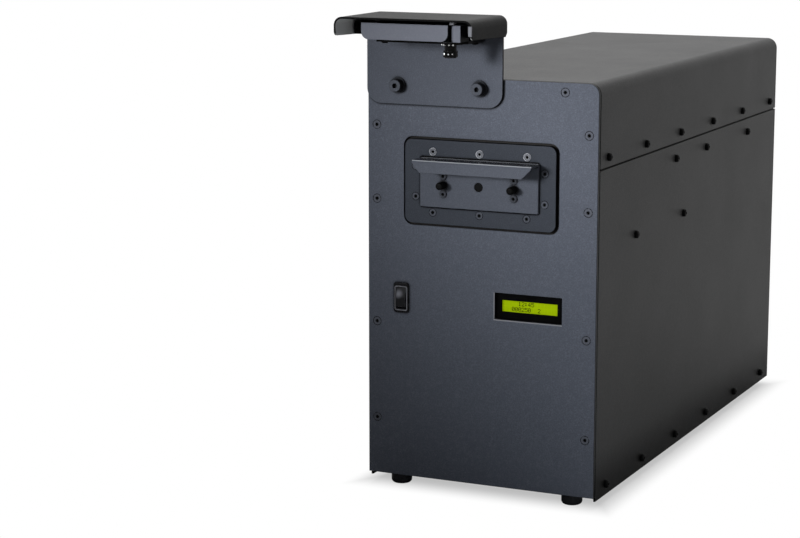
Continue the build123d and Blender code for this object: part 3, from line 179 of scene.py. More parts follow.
def makeEdgeWearShadeAndHighlightMask():  # softened corners, and a mask of the line along them; some finishes colour it as wear, some as painted shade, some as painted highlight
    group, source, result = startGroup(
        "edgeWearShadeAndHighlightMask",
        [("Radius", "Float", 0.0006), ("Amount", "Float", 0.5), ("Scale", "Float", 160.0)],
        [("Mask", "Float"), ("Normal", "Vector")],
    )
    soft = addNode(group, "ShaderNodeBevel", {"Radius": source.outputs["Radius"]}, samples=edgeMaskLimits["samples"])
    plain = addNode(group, "ShaderNodeNewGeometry").outputs["Normal"]
    facing = addNode(group, "ShaderNodeVectorMath", operation="DOT_PRODUCT")
    feed(group, soft.outputs[0], facing.inputs[0])
    feed(group, plain, facing.inputs[1])
    edge = remap(group, facing.outputs["Value"], *edgeMaskLimits["edgeSpan"], smooth=True)
    spots = noise(group, objectPoint(group), source.outputs["Scale"], *edgeMaskLimits["chipNoise"])
    chips = remap(group, spots, *edgeMaskLimits["chipSpan"])
    mask = calc(group, "MULTIPLY", calc(group, "MULTIPLY", edge, chips), source.outputs["Amount"])
    feed(group, mask, result.inputs["Mask"])
    feed(group, soft.outputs[0], result.inputs["Normal"])
    return group


dustFall = {"upSpan": (0.5, 1.0), "patchNoise": (6.0, 0.7), "patchSpan": (0.35, 0.75)}


def makeSettledDust():  # thin dust on faces that look up
    group, source, result = startGroup(
        "settledDust",
        [("Amount", "Float", 0.1), ("Scale", "Float", 60.0)],
        [("Mask", "Float")],
    )
    split = addNode(group, "ShaderNodeSeparateXYZ")
    feed(group, addNode(group, "ShaderNodeNewGeometry").outputs["Normal"], split.inputs[0])
    facing = remap(group, split.outputs["Z"], *dustFall["upSpan"], smooth=True)
    cloud = noise(group, objectPoint(group), source.outputs["Scale"], *dustFall["patchNoise"])
    patch = remap(group, cloud, *dustFall["patchSpan"])
    mask = calc(group, "MULTIPLY", calc(group, "MULTIPLY", facing, patch), source.outputs["Amount"])
    feed(group, mask, result.inputs["Mask"])
    return group


creviceShadeLimits = {"samples": 8, "shutSpan": (0.97, 0.68)}


def makeCreviceShade():  # mask of the narrow corners where one piece sits on another, coloured there as a painted shade line
    group, source, result = startGroup(
        "creviceShade",
        [("Reach", "Float", 0.0015), ("Amount", "Float", 0.8)],
        [("Mask", "Float")],
    )
    free = addNode(group, "ShaderNodeAmbientOcclusion", {"Distance": source.outputs["Reach"]},
                   samples=creviceShadeLimits["samples"])
    shut = remap(group, free.outputs["AO"], *creviceShadeLimits["shutSpan"], smooth=True)
    feed(group, calc(group, "MULTIPLY", shut, source.outputs["Amount"]), result.inputs["Mask"])
    return group


facingLimits = {"full": 0.98, "wide": 0.5, "narrow": 0.12}


def makeFacing():  # masks of the faces that look up and of those that look to the front
    group, source, result = startGroup(
        "facing",
        [("Width", "Float", 0.3)],
        [("Up", "Float"), ("Front", "Float")],
    )
    split = addNode(group, "ShaderNodeSeparateXYZ")
    feed(group, addNode(group, "ShaderNodeNewGeometry").outputs["Normal"], split.inputs[0])
    start = calc(group, "SUBTRACT", facingLimits["full"], source.outputs["Width"])
    front = calc(group, "MULTIPLY", split.outputs["Y"], -1.0)
    for label, value in (("Up", split.outputs["Z"]), ("Front", front)):
        feed(group, remap(group, value, start, facingLimits["full"], smooth=True), result.inputs[label])
    return group


drawing = {"lineScale": 1.0, "lineNoise": (4.0, 0.6), "lineSpan": (0.3, 0.7)}


def makeDrawnLines():  # streaks left by rolling, drawing or brushing metal
    group, source, result = startGroup(
        "drawnLines",
        [("Color", "Color", (0.5, 0.5, 0.5, 1)), ("Streak", "Color", (0.6, 0.6, 0.6, 1)),
         ("Stretch", "Vector", (40.0, 1500.0, 1500.0)), ("Amount", "Float", 0.6)],
        [("Color", "Color"), ("Height", "Float")],
    )
    scaled = addNode(group, "ShaderNodeVectorMath", operation="MULTIPLY")
    feed(group, objectPoint(group), scaled.inputs[0])
    feed(group, source.outputs["Stretch"], scaled.inputs[1])
    line = noise(group, scaled.outputs["Vector"], drawing["lineScale"], *drawing["lineNoise"])
    mask = calc(group, "MULTIPLY", remap(group, line, *drawing["lineSpan"]), source.outputs["Amount"])
    color = mixColor(group, mask, source.outputs["Color"], source.outputs["Streak"])
    feed(group, color, result.inputs["Color"])
    feed(group, line, result.inputs["Height"])
    return group


moulding = {"cloudShare": 0.03, "cloudNoise": (4.0, 0.6), "toneSpan": (0.35, 0.75)}


def makeMouldGrain():  # spark-eroded grain of a plastic mould
    group, source, result = startGroup(
        "mouldGrain",
        [("Color", "Color", (0.02, 0.02, 0.02, 1)), ("Bloom", "Color", (0.05, 0.05, 0.05, 1)),
         ("Scale", "Float", 2200.0)],
        [("Color", "Color"), ("Height", "Float")],
    )
    point = objectPoint(group)
    cell = addNode(group, "ShaderNodeTexVoronoi", {"Vector": point, "Scale": source.outputs["Scale"]})
    coarse = calc(group, "MULTIPLY", source.outputs["Scale"], moulding["cloudShare"])
    tone = remap(group, noise(group, point, coarse, *moulding["cloudNoise"]), *moulding["toneSpan"])
    color = mixColor(group, tone, source.outputs["Color"], source.outputs["Bloom"])
    feed(group, color, result.inputs["Color"])
    feed(group, cell.outputs["Distance"], result.inputs["Height"])
    return group


powderGrain = makePowderGrain()
wipedSheen = makeWipedSheen()
edgeWearShadeAndHighlightMask = makeEdgeWearShadeAndHighlightMask()
settledDust = makeSettledDust()
creviceShade = makeCreviceShade()
facing = makeFacing()
drawnLines = makeDrawnLines()
mouldGrain = makeMouldGrain()
print("effects: 8 shader groups")


# finishes

def startFinish(name):
    finish = bpy.data.materials.new(name)
    finish.use_nodes = True
    tree = finish.node_tree
    return finish, tree, tree.nodes["Principled BSDF"]


def addRelief(tree, shader, height, distance, strength, normal=None):
    bump = addNode(tree, "ShaderNodeBump", {"Height": height})
    bump.inputs["Distance"].default_value = distance
    bump.inputs["Strength"].default_value = strength
    if normal is not None:
        feed(tree, normal, bump.inputs["Normal"])
    tree.links.new(bump.outputs["Normal"], shader.inputs["Normal"])


def insideMask(tree, inside):  # 1 on the inner faces of a folded node
    low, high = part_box(inside["node"])
    middle, half = (low.x + high.x) / 2, (high.x - low.x) / 2
    split = addNode(tree, "ShaderNodeSeparateXYZ", {"Vector": objectPoint(tree)})
    off = calc(tree, "ABSOLUTE", calc(tree, "SUBTRACT", split.outputs["X"], middle))
    past = []
    for along, end in ((off, half), (split.outputs["Z"], high.z)):
        straight = calc(tree, "SUBTRACT", along, end - inside["bend"])
        past.append(calc(tree, "POWER", calc(tree, "MAXIMUM", straight, 0.0), 2.0))
    reach = calc(tree, "SQRT", calc(tree, "ADD", *past))
    within = calc(tree, "LESS_THAN", reach, inside["bend"] - inside["sheet"] / 2)
    return calc(tree, "MULTIPLY", within, calc(tree, "LESS_THAN", split.outputs["Y"], inside["rear"]))


def facingMask(tree, width, side):
    return useGroup(tree, facing, {"Width": facingLimits[width]})[side]


def heightOf(tree):
    return addNode(tree, "ShaderNodeSeparateXYZ", {"Vector": objectPoint(tree)}).outputs["Z"]


def makePaint(name, look):
    finish, tree, shader = startFinish(name)
    coat = useGroup(tree, powderGrain, {
        "Color": look["color"], "Fleck": look["fleck"], "Scale": look["grain"],
        "Amount": look["fleckAmount"],
    })
    sheen = useGroup(tree, wipedSheen, {
        "Roughness": look["roughness"], "Spread": look["sheenSpread"], "Scale": look["sheenScale"],
    })
    edge = useGroup(tree, edgeWearShadeAndHighlightMask, {"Radius": look["edgeRadius"], "Amount": look["edgeWearShadeAndHighlightAmount"]})
    dust = useGroup(tree, settledDust, {"Amount": look["dust"]})
    color = mixColor(tree, edge["Mask"], coat["Color"], look["edgeWearShadeAndHighlight"])
    color = mixColor(tree, dust["Mask"], color, look["dustColor"])
    roughness = sheen["Roughness"]
    if "creviceShade" in look:  # painted shade: a dark line round whatever sits on the face
        creviceTone = look["creviceShade"]
        corner = useGroup(tree, creviceShade, {"Reach": creviceTone["reach"], "Amount": creviceTone["amount"]})
        color = mixColor(tree, corner["Mask"], color, creviceTone["color"])
    if "shadedSides" in look:  # painted shade: every face but the front takes a dark colour
        color = mixColor(tree, facingMask(tree, "wide", "Front"), look["shadedSides"], color)
    if "seam" in look:  # the open joint under the cover, always in shade
        seam = look["seam"]
        joint = calc(tree, "COMPARE", heightOf(tree), (seam["under"] + seam["over"]) / 2)
        joint.node.inputs[2].default_value = (seam["over"] - seam["under"]) / 2 + seam["lap"]
        color = mixColor(tree, joint, color, seam["color"])
    if "lowShade" in look:  # painted shade, darker towards the floor
        lowShade = look["lowShade"]
        foot = remap(tree, heightOf(tree), lowShade["top"], lowShade["bottom"], 0.0, lowShade["amount"], True)
        color = mixColor(tree, foot, color, lowShade["color"])
    if "inside" in look:  # inner faces of the folded sheet paler, with its front-facing cut edges in painted shade
        color = mixColor(tree, insideMask(tree, look["inside"]), color, look["inside"]["color"])
        color = mixColor(tree, facingMask(tree, "wide", "Front"), color, look["inside"]["shadedFrontEdges"])
    if "bend" in look:  # folded lip: a painted dark reflection on its lacquered top face and a painted highlight along the fold
        bend = look["bend"]
        top = facingMask(tree, "narrow", "Up")
        color = mixColor(tree, facingMask(tree, "wide", "Up"), color, bend["edgeWearShadeAndHighlight"])
        color = mixColor(tree, top, color, bend["top"])
        roughness = remap(tree, top, 0.0, 1.0, roughness, bend["roughness"])
        feed(tree, calc(tree, "MULTIPLY", top, bend["lacquer"]), shader.inputs["Coat Weight"])
    feed(tree, color, shader.inputs["Base Color"])
    feed(tree, roughness, shader.inputs["Roughness"])
    shader.inputs["Specular IOR Level"].default_value = look["specular"]
    addRelief(tree, shader, coat["Height"], look["grainDepth"], look["grainStrength"], edge["Normal"])
    return finish


# panel: painted shade on the side faces and in the crevices round what sits on it
panelPaintLook = {
    "color": (0.090, 0.098, 0.120, 1), "fleck": (0.172, 0.186, 0.226, 1), "edgeWearShadeAndHighlight": (0.26, 0.27, 0.31, 1),
    "dustColor": (0.16, 0.16, 0.16, 1), "grain": 900.0, "fleckAmount": 0.6, "grainDepth": 0.0003,
    "grainStrength": 0.3, "roughness": 0.46, "sheenSpread": 0.10, "sheenScale": 14.0, "specular": 0.08,
    "edgeRadius": 0.0006, "edgeWearShadeAndHighlightAmount": 0.3, "dust": 0.04, "shadedSides": (0.006, 0.006, 0.007, 1),
    "creviceShade": {"reach": 0.0036, "amount": 0.9, "color": (0.004, 0.004, 0.005, 1)},
}
# painted shade: the bracket's edge line is dark
bracketPaintLook = panelPaintLook | {
    "color": (0.080, 0.087, 0.106, 1), "fleck": (0.150, 0.162, 0.196, 1), "edgeWearShadeAndHighlight": (0.02, 0.022, 0.027, 1),
    "edgeWearShadeAndHighlightAmount": 1.0,
}
casingPaintLook = {
    "color": (0.026, 0.026, 0.026, 1), "fleck": (0.062, 0.062, 0.061, 1), "edgeWearShadeAndHighlight": (0.09, 0.09, 0.09, 1),
    "dustColor": (0.16, 0.16, 0.16, 1), "grain": 820.0, "fleckAmount": 0.65, "grainDepth": 0.0003,
    "grainStrength": 0.3, "roughness": 0.42, "sheenSpread": 0.10, "sheenScale": 14.0, "specular": 0.042,
    "edgeRadius": 0.0006, "edgeWearShadeAndHighlightAmount": 0.3, "dust": 0.06,
}
# painted shade on the casing, darker towards the floor
coveredPaintLook = casingPaintLook | {
    "seam": {"under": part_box("right_side_panel")[1].z, "over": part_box("top_cover")[0].z, "lap": 0.0008,
             "color": (0.001, 0.001, 0.001, 1)},
    "lowShade": {"top": 0.066, "bottom": 0.018, "amount": 1.0, "color": (0.001, 0.001, 0.001, 1)},
}
# painted shade on the hood's edges and front-facing cut edges; its inner faces are paler
hoodPaintLook = casingPaintLook | {
    "color": (0.0155, 0.0155, 0.0155, 1), "fleck": (0.033, 0.033, 0.032, 1), "roughness": 0.46,
    "specular": 0.022, "edgeRadius": 0.0008, "edgeWearShadeAndHighlight": (0.008, 0.008, 0.008, 1), "edgeWearShadeAndHighlightAmount": 1.0,
    "inside": {"node": "hood_cover", "sheet": 0.002, "bend": 0.0086, "rear": -0.277,
               "color": (0.55, 0.55, 0.54, 1), "shadedFrontEdges": (0.003, 0.003, 0.003, 1)},
}
# painted shade on the drawer plate's edges and side faces; a painted dark reflection and a painted highlight
# on its lip
drawerPaintLook = panelPaintLook | {
    "color": (0.076, 0.083, 0.101, 1), "fleck": (0.128, 0.138, 0.166, 1), "grain": 1000.0,
    "edgeRadius": 0.0005, "edgeWearShadeAndHighlightAmount": 1.5, "edgeWearShadeAndHighlight": (0.008, 0.008, 0.010, 1), "roughness": 0.52,
    "specular": 0.09, "shadedSides": (0.06, 0.065, 0.079, 1),
    "bend": {"top": (0.030, 0.032, 0.038, 1), "edgeWearShadeAndHighlight": (0.75, 0.76, 0.78, 1), "roughness": 0.16,
             "lacquer": 0.4},
}
# painted shade on the plate's edges and side faces
aperturePaintLook = panelPaintLook | {
    "color": (0.043, 0.048, 0.058, 1), "fleck": (0.077, 0.083, 0.100, 1), "edgeWearShadeAndHighlightAmount": 1.0,
    "edgeWearShadeAndHighlight": (0.006, 0.006, 0.007, 1), "shadedSides": (0.002, 0.002, 0.002, 1), "specular": 0.05,
}
# painted shade on the plate's side faces
labelPaintLook = panelPaintLook | {
    "color": (0.14, 0.146, 0.172, 1), "fleck": (0.185, 0.19, 0.22, 1), "roughness": 0.40, "grain": 1400.0,
    "shadedSides": (0.004, 0.004, 0.005, 1),
}
# near black so it stands in for shade: on parts seen only through gaps, and on the discs in the screw sockets
shadeBlackLook = casingPaintLook | {
    "color": (0.003, 0.003, 0.003, 1), "fleck": (0.006, 0.006, 0.006, 1), "edgeWearShadeAndHighlight": (0.008, 0.008, 0.008, 1),
    "specular": 0.01, "roughness": 0.7, "dust": 0.0,
}
# painted shade on the bolt heads' side faces
boltPaintLook = panelPaintLook | {
    "color": (0.075, 0.08, 0.094, 1), "fleck": (0.12, 0.128, 0.15, 1), "shadedSides": (0.006, 0.006, 0.007, 1),
    "edgeRadius": 0.0004, "specular": 0.05,
}


def makePlastic(name, look):
    finish, tree, shader = startFinish(name)
    grain = useGroup(tree, mouldGrain, {
        "Color": look["color"], "Bloom": look["bloom"], "Scale": look["grain"],
    })
    sheen = useGroup(tree, wipedSheen, {
        "Roughness": look["roughness"], "Spread": look["sheenSpread"], "Scale": look["sheenScale"],
    })
    edge = useGroup(tree, edgeWearShadeAndHighlightMask, {"Radius": look["edgeRadius"], "Amount": look["edgeWearShadeAndHighlightAmount"]})
    dust = useGroup(tree, settledDust, {"Amount": look["dust"], "Scale": look["dustScale"]})
    color = mixColor(tree, edge["Mask"], grain["Color"], look["edgeWearShadeAndHighlight"])
    color = mixColor(tree, dust["Mask"], color, look["dustColor"])
    if "paintedHighlightSpot" in look:  # painted highlight spot round a given point
        glint = look["paintedHighlightSpot"]
        reach = addNode(tree, "ShaderNodeVectorMath", operation="DISTANCE")
        feed(tree, objectPoint(tree), reach.inputs[0])
        feed(tree, glint["middle"], reach.inputs[1])
        spot = remap(tree, reach.outputs["Value"], glint["radius"], 0.0, smooth=True)
        color = mixColor(tree, spot, color, glint["color"])
    feed(tree, color, shader.inputs["Base Color"])
    feed(tree, sheen["Roughness"], shader.inputs["Roughness"])
    shader.inputs["IOR"].default_value = look["ior"]
    shader.inputs["Specular IOR Level"].default_value = look["specular"]
    addRelief(tree, shader, grain["Height"], look["grainDepth"], look["grainStrength"], edge["Normal"])
    return finish


blackPlasticLook = {
    "color": (0.016, 0.016, 0.018, 1), "bloom": (0.026, 0.026, 0.029, 1), "edgeWearShadeAndHighlight": (0.06, 0.06, 0.065, 1),
    "dustColor": (0.2, 0.2, 0.2, 1), "grain": 2400.0, "grainDepth": 0.0001, "grainStrength": 0.18,
    "roughness": 0.36, "sheenSpread": 0.12, "sheenScale": 70.0, "ior": 1.5, "specular": 0.10,
    "edgeRadius": 0.0004, "edgeWearShadeAndHighlightAmount": 0.25, "dust": 0.05, "dustScale": 120.0,
}
# painted highlight along the edges of the switch
switchPlasticLook = blackPlasticLook | {
    "color": (0.004, 0.004, 0.005, 1), "bloom": (0.008, 0.008, 0.009, 1), "roughness": 0.26,
    "grainStrength": 0.02, "edgeWearShadeAndHighlight": (0.14, 0.14, 0.15, 1), "edgeWearShadeAndHighlightAmount": 1.6, "edgeRadius": 0.0006,
    "specular": 0.06,
}
# painted highlight spot on the rocker's upper half
rockerPlasticLook = switchPlasticLook | {
    "roughness": 0.3, "specular": 0.07,
    "paintedHighlightSpot": {"middle": (-0.0912, -0.2765, 0.2082), "radius": 0.0066, "color": (0.26, 0.26, 0.29, 1)},
}
bezelPlasticLook = blackPlasticLook | {
    "color": (0.002, 0.002, 0.002, 1), "bloom": (0.004, 0.004, 0.004, 1), "roughness": 0.6, "specular": 0.01,
    "edgeWearShadeAndHighlight": (0.008, 0.008, 0.008, 1),
}
# painted highlight along the lens edges
lensPlasticLook = switchPlasticLook | {
    "color": (0.002, 0.002, 0.002, 1), "bloom": (0.003, 0.003, 0.003, 1), "roughness": 0.10,
    "sheenSpread": 0.03, "specular": 0.05, "edgeWearShadeAndHighlightAmount": 0.8,
}
housingPlasticLook = bezelPlasticLook | {
    "color": (0.003, 0.003, 0.003, 1), "bloom": (0.005, 0.005, 0.005, 1),
}
fanPlasticLook = blackPlasticLook | {"roughness": 0.42, "dust": 0.14}
pegPlasticLook = switchPlasticLook | {
    "color": (0.002, 0.002, 0.002, 1), "bloom": (0.004, 0.004, 0.004, 1), "roughness": 0.4,
    "specular": 0.03, "edgeWearShadeAndHighlightAmount": 0.0,
}
modulePlasticLook = blackPlasticLook | {"roughness": 0.5, "grain": 1500.0}
formerPlasticLook = blackPlasticLook | {
    "color": (0.012, 0.011, 0.010, 1), "bloom": (0.020, 0.018, 0.016, 1), "roughness": 0.55, "grain": 900.0,
}
nylonLook = blackPlasticLook | {
    "color": (0.62, 0.60, 0.54, 1), "bloom": (0.70, 0.68, 0.62, 1), "edgeWearShadeAndHighlight": (0.75, 0.74, 0.70, 1),
    "roughness": 0.45,
}
rubberLook = blackPlasticLook | {
    "color": (0.012, 0.012, 0.014, 1), "bloom": (0.020, 0.020, 0.023, 1), "roughness": 0.3, "grain": 1200.0,
    "grainStrength": 0.1, "edgeRadius": 0.0008, "dust": 0.02, "specular": 0.12,
}


def makeMetal(name, look):
    finish, tree, shader = startFinish(name)
    drawn = useGroup(tree, drawnLines, {
        "Color": look["color"], "Streak": look["streak"], "Stretch": look["stretch"],
        "Amount": look["streakAmount"],
    })
    sheen = useGroup(tree, wipedSheen, {
        "Roughness": look["roughness"], "Spread": look["sheenSpread"], "Scale": look["sheenScale"],
    })
    edge = useGroup(tree, edgeWearShadeAndHighlightMask, {
        "Radius": look["edgeRadius"], "Amount": look["edgeWearShadeAndHighlightAmount"], "Scale": look["chipScale"],
    })
    color, edgeWearShadeAndHighlight = drawn["Color"], look["edgeWearShadeAndHighlight"]
    if "highlightedRow" in look:  # painted highlight on the row over the drawer's lip
        upper = calc(tree, "GREATER_THAN", heightOf(tree), look["highlightedRow"]["above"])
        color = mixColor(tree, upper, color, look["highlightedRow"]["color"])
        edgeWearShadeAndHighlight = mixColor(tree, upper, edgeWearShadeAndHighlight, look["highlightedRow"]["edgeWearShadeAndHighlight"])
    color = mixColor(tree, edge["Mask"], color, edgeWearShadeAndHighlight)
    color = mixColor(tree, calc(tree, "MULTIPLY", sheen["Tone"], look["stain"]), color, look["stainColor"])
    feed(tree, color, shader.inputs["Base Color"])
    feed(tree, sheen["Roughness"], shader.inputs["Roughness"])
    shader.inputs["Metallic"].default_value = look["metallic"]
    shader.inputs["Specular IOR Level"].default_value = look["specular"]
    addRelief(tree, shader, drawn["Height"], look["lineDepth"], look["lineStrength"], edge["Normal"])
    return finish


brightSteelLook = {
    "color": (0.52, 0.52, 0.53, 1), "streak": (0.66, 0.66, 0.67, 1), "edgeWearShadeAndHighlight": (0.8, 0.8, 0.8, 1),
    "stainColor": (0.38, 0.37, 0.35, 1), "stain": 0.25, "stretch": (60.0, 1800.0, 1800.0),
    "streakAmount": 0.6, "roughness": 0.30, "sheenSpread": 0.14, "sheenScale": 45.0, "metallic": 1.0,
    "edgeRadius": 0.0003, "edgeWearShadeAndHighlightAmount": 0.5, "chipScale": 400.0, "lineDepth": 0.00005, "lineStrength": 0.25,
    "specular": 0.5,
}
zincSheetLook = brightSteelLook | {
    "color": (0.42, 0.43, 0.44, 1), "streak": (0.50, 0.51, 0.53, 1), "stainColor": (0.33, 0.34, 0.36, 1),
    "roughness": 0.42, "stretch": (14.0, 500.0, 14.0), "stain": 0.5, "sheenScale": 24.0,
}
trayAluminiumLook = brightSteelLook | {
    "color": (0.60, 0.61, 0.62, 1), "streak": (0.72, 0.73, 0.74, 1), "stretch": (1500.0, 30.0, 1500.0),
    "roughness": 0.36, "stainColor": (0.5, 0.5, 0.51, 1),
}
canAluminiumLook = trayAluminiumLook | {"stretch": (60.0, 60.0, 1400.0), "roughness": 0.32}
coreSteelLook = brightSteelLook | {
    "color": (0.13, 0.13, 0.135, 1), "streak": (0.24, 0.24, 0.245, 1), "stretch": (8.0, 1900.0, 8.0),
    "roughness": 0.5, "streakAmount": 0.9, "stainColor": (0.16, 0.12, 0.09, 1), "lineStrength": 0.5,
}
barCopperLook = brightSteelLook | {
    "color": (0.66, 0.30, 0.16, 1), "streak": (0.78, 0.40, 0.24, 1), "stretch": (1500.0, 40.0, 1500.0),
    "stainColor": (0.36, 0.17, 0.09, 1), "stain": 0.35, "edgeWearShadeAndHighlight": (0.9, 0.52, 0.36, 1),
}
blackSteelLook = brightSteelLook | {
    "color": (0.024, 0.024, 0.026, 1), "streak": (0.040, 0.040, 0.043, 1), "edgeWearShadeAndHighlight": (0.22, 0.22, 0.23, 1),
    "stainColor": (0.03, 0.028, 0.026, 1), "stretch": (1600.0, 1600.0, 1600.0), "metallic": 0.55,
    "roughness": 0.36, "edgeWearShadeAndHighlightAmount": 0.45, "edgeRadius": 0.00035, "sheenScale": 220.0, "specular": 0.1,
}
casingScrewLook = blackSteelLook | {
    "color": (0.003, 0.003, 0.003, 1), "streak": (0.006, 0.006, 0.006, 1), "edgeWearShadeAndHighlight": (0.03, 0.03, 0.03, 1),
    "roughness": 0.4, "metallic": 0.0, "specular": 0.02, "stain": 0.0,
}
# painted shade: a dark ring round each screw head
panelScrewLook = blackSteelLook | {
    "color": (0.095, 0.10, 0.118, 1), "streak": (0.14, 0.147, 0.17, 1), "edgeWearShadeAndHighlight": (0.003, 0.003, 0.004, 1),
    "stain": 0.0, "metallic": 0.0, "roughness": 0.4, "specular": 0.05, "edgeWearShadeAndHighlightAmount": 4.0, "edgeRadius": 0.0011,
}
# painted highlight on the upper row of heads
apertureScrewLook = panelScrewLook | {
    "color": (0.075, 0.080, 0.095, 1), "streak": (0.11, 0.117, 0.135, 1),
    "highlightedRow": {"above": 0.352, "color": (0.17, 0.175, 0.19, 1), "edgeWearShadeAndHighlight": (0.62, 0.62, 0.64, 1)},
}
# painted shade: a dark ring round each head, as on the panel screws
drawerScrewLook = panelScrewLook | {
    "color": (0.030, 0.032, 0.038, 1), "streak": (0.10, 0.105, 0.12, 1), "edgeRadius": 0.0006,
}
guardWireLook = brightSteelLook | {"stretch": (900.0, 900.0, 900.0), "roughness": 0.24}

windingLook = {
    "wire": (0.50, 0.17, 0.06, 1), "gap": (0.06, 0.018, 0.008, 1), "turnsPerMetre": 420.0, "wander": 0.6,
    "roughness": 0.33, "sheenSpread": 0.15, "sheenScale": 60.0, "metallic": 0.7, "coat": 0.5, "depth": 0.0006,
    "strength": 0.8,
}


def makeWinding(name, look):  # enamelled wire laid in rows
    finish, tree, shader = startFinish(name)
    wave = addNode(tree, "ShaderNodeTexWave", wave_type="BANDS", bands_direction="Y", wave_profile="SIN")
    feed(tree, objectPoint(tree), wave.inputs["Vector"])
    wave.inputs["Scale"].default_value = look["turnsPerMetre"]
    wave.inputs["Distortion"].default_value = look["wander"]
    sheen = useGroup(tree, wipedSheen, {
        "Roughness": look["roughness"], "Spread": look["sheenSpread"], "Scale": look["sheenScale"],
    })
    feed(tree, mixColor(tree, wave.outputs["Fac"], look["gap"], look["wire"]), shader.inputs["Base Color"])
    feed(tree, sheen["Roughness"], shader.inputs["Roughness"])
    shader.inputs["Metallic"].default_value = look["metallic"]
    shader.inputs["Coat Weight"].default_value = look["coat"]
    addRelief(tree, shader, wave.outputs["Fac"], look["depth"], look["strength"])
    return finish


boardLook = {
    "mask": (0.010, 0.085, 0.035, 1), "trace": (0.020, 0.150, 0.065, 1), "pad": (0.62, 0.60, 0.52, 1),
    "traceScale": 260.0, "traceGap": 0.12, "padScale": 190.0, "padScatter": 0.35, "padSpan": (0.20, 0.16),
    "roughness": 0.3, "sheenSpread": 0.15, "sheenScale": 50.0, "depth": 0.00006, "strength": 0.6,
}


def makeBoard(name, look):  # solder mask over traces, with tinned pads
    finish, tree, shader = startFinish(name)
    point = objectPoint(tree)
    brick = addNode(tree, "ShaderNodeTexBrick", {"Vector": point, "Scale": look["traceScale"]})
    brick.inputs["Mortar Size"].default_value = look["traceGap"]
    pads = addNode(tree, "ShaderNodeTexVoronoi", {"Vector": point, "Scale": look["padScale"]})
    pads.inputs["Randomness"].default_value = look["padScatter"]
    padMask = remap(tree, pads.outputs["Distance"], *look["padSpan"])
    color = mixColor(tree, brick.outputs["Fac"], look["mask"], look["trace"])
    feed(tree, mixColor(tree, padMask, color, look["pad"]), shader.inputs["Base Color"])
    sheen = useGroup(tree, wipedSheen, {
        "Roughness": look["roughness"], "Spread": look["sheenSpread"], "Scale": look["sheenScale"],
    })
    feed(tree, sheen["Roughness"], shader.inputs["Roughness"])
    feed(tree, padMask, shader.inputs["Metallic"])
    addRelief(tree, shader, brick.outputs["Fac"], look["depth"], look["strength"])
    return finish


displayLook = {
    "lit": (0.30, 0.42, 0.001, 1), "cell": (0.275, 0.39, 0.001, 1), "glow": 0.42, "columns": 16, "rows": 2,
    "margin": 0.005, "cellHalf": (0.41, 0.40), "cloudScale": 45.0, "cloudDetail": 3.0,
    "cloudSpan": (0.3, 0.7, 0.0, 0.35), "roughness": 0.3, "specular": 0.02,
}


def makeDisplay(name, look):  # backlit yellow-green glass with faint character cells
    finish, tree, shader = startFinish(name)
    low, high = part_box("display_glass")
    margin = look["margin"]
    split = addNode(tree, "ShaderNodeSeparateXYZ", {"Vector": objectPoint(tree)})
    across = remap(tree, split.outputs["X"], low.x + margin, high.x - margin, 0.0, look["columns"])
    up = remap(tree, split.outputs["Z"], low.z + margin, high.z - margin, 0.0, look["rows"])
    within = []
    for along, reach in zip((across, up), look["cellHalf"]):
        near = calc(tree, "COMPARE", calc(tree, "FRACT", along), 0.5)
        near.node.inputs[2].default_value = reach
        within.append(near)
    cloud = noise(tree, objectPoint(tree), look["cloudScale"], look["cloudDetail"])
    uneven = remap(tree, cloud, *look["cloudSpan"])
    mask = calc(tree, "MAXIMUM", calc(tree, "MULTIPLY", *within), uneven)
    color = mixColor(tree, mask, look["lit"], look["cell"])
    feed(tree, color, shader.inputs["Base Color"])
    feed(tree, color, shader.inputs["Emission Color"])
    shader.inputs["Emission Strength"].default_value = look["glow"]
    shader.inputs["Roughness"].default_value = look["roughness"]
    shader.inputs["Specular IOR Level"].default_value = look["specular"]
    return finish


finishes = {
    "panel_paint": makePaint("panelPaint", panelPaintLook),
    "casing_paint": makePaint("casingPaint", coveredPaintLook),
    "hood_paint": makePaint("hoodPaint", hoodPaintLook),
    "drawer_paint": makePaint("drawerPaint", drawerPaintLook),
    "label_paint": makePaint("labelPaint", labelPaintLook),
    "peg_black": makePlastic("pegPlastic", pegPlasticLook),
    "foot_rubber": makePlastic("footRubber", rubberLook),
    "slide_nylon": makePlastic("slideNylon", nylonLook),
    "former_plastic": makePlastic("formerPlastic", formerPlasticLook),
    "module_black": makePlastic("modulePlastic", modulePlasticLook),
    "bezel_black": makePlastic("bezelPlastic", bezelPlasticLook),
    "switch_black": makePlastic("switchPlastic", switchPlasticLook),
    "fan_black": makePlastic("fanPlastic", fanPlasticLook),
    "socket_black": makePlastic("socketPlastic", blackPlasticLook),
    "camera_black": makePlastic("cameraPlastic", blackPlasticLook),
    "zinc_sheet": makeMetal("zincSheet", zincSheetLook),
    "black_steel": makeMetal("blackSteel", blackSteelLook),
    "tray_aluminium": makeMetal("trayAluminium", trayAluminiumLook),
    "bar_copper": makeMetal("barCopper", barCopperLook),
    "core_steel": makeMetal("coreSteel", coreSteelLook),
    "bright_steel": makeMetal("brightSteel", brightSteelLook),
    "can_aluminium": makeMetal("canAluminium", canAluminiumLook),
    "guard_wire": makeMetal("guardWire", guardWireLook),
    "winding_copper": makeWinding("windingCopper", windingLook),
    "board_green": makeBoard("boardGreen", boardLook),
    "display_green": makeDisplay("displayGreen", displayLook),
}
shadeBlack = makePaint("shadeBlack", shadeBlackLook)
casingScrewSteel = makeMetal("casingScrewSteel", casingScrewLook)
panelScrewSteel = makeMetal("panelScrewSteel", panelScrewLook)
lensPlastic = makePlastic("lensPlastic", lensPlasticLook)
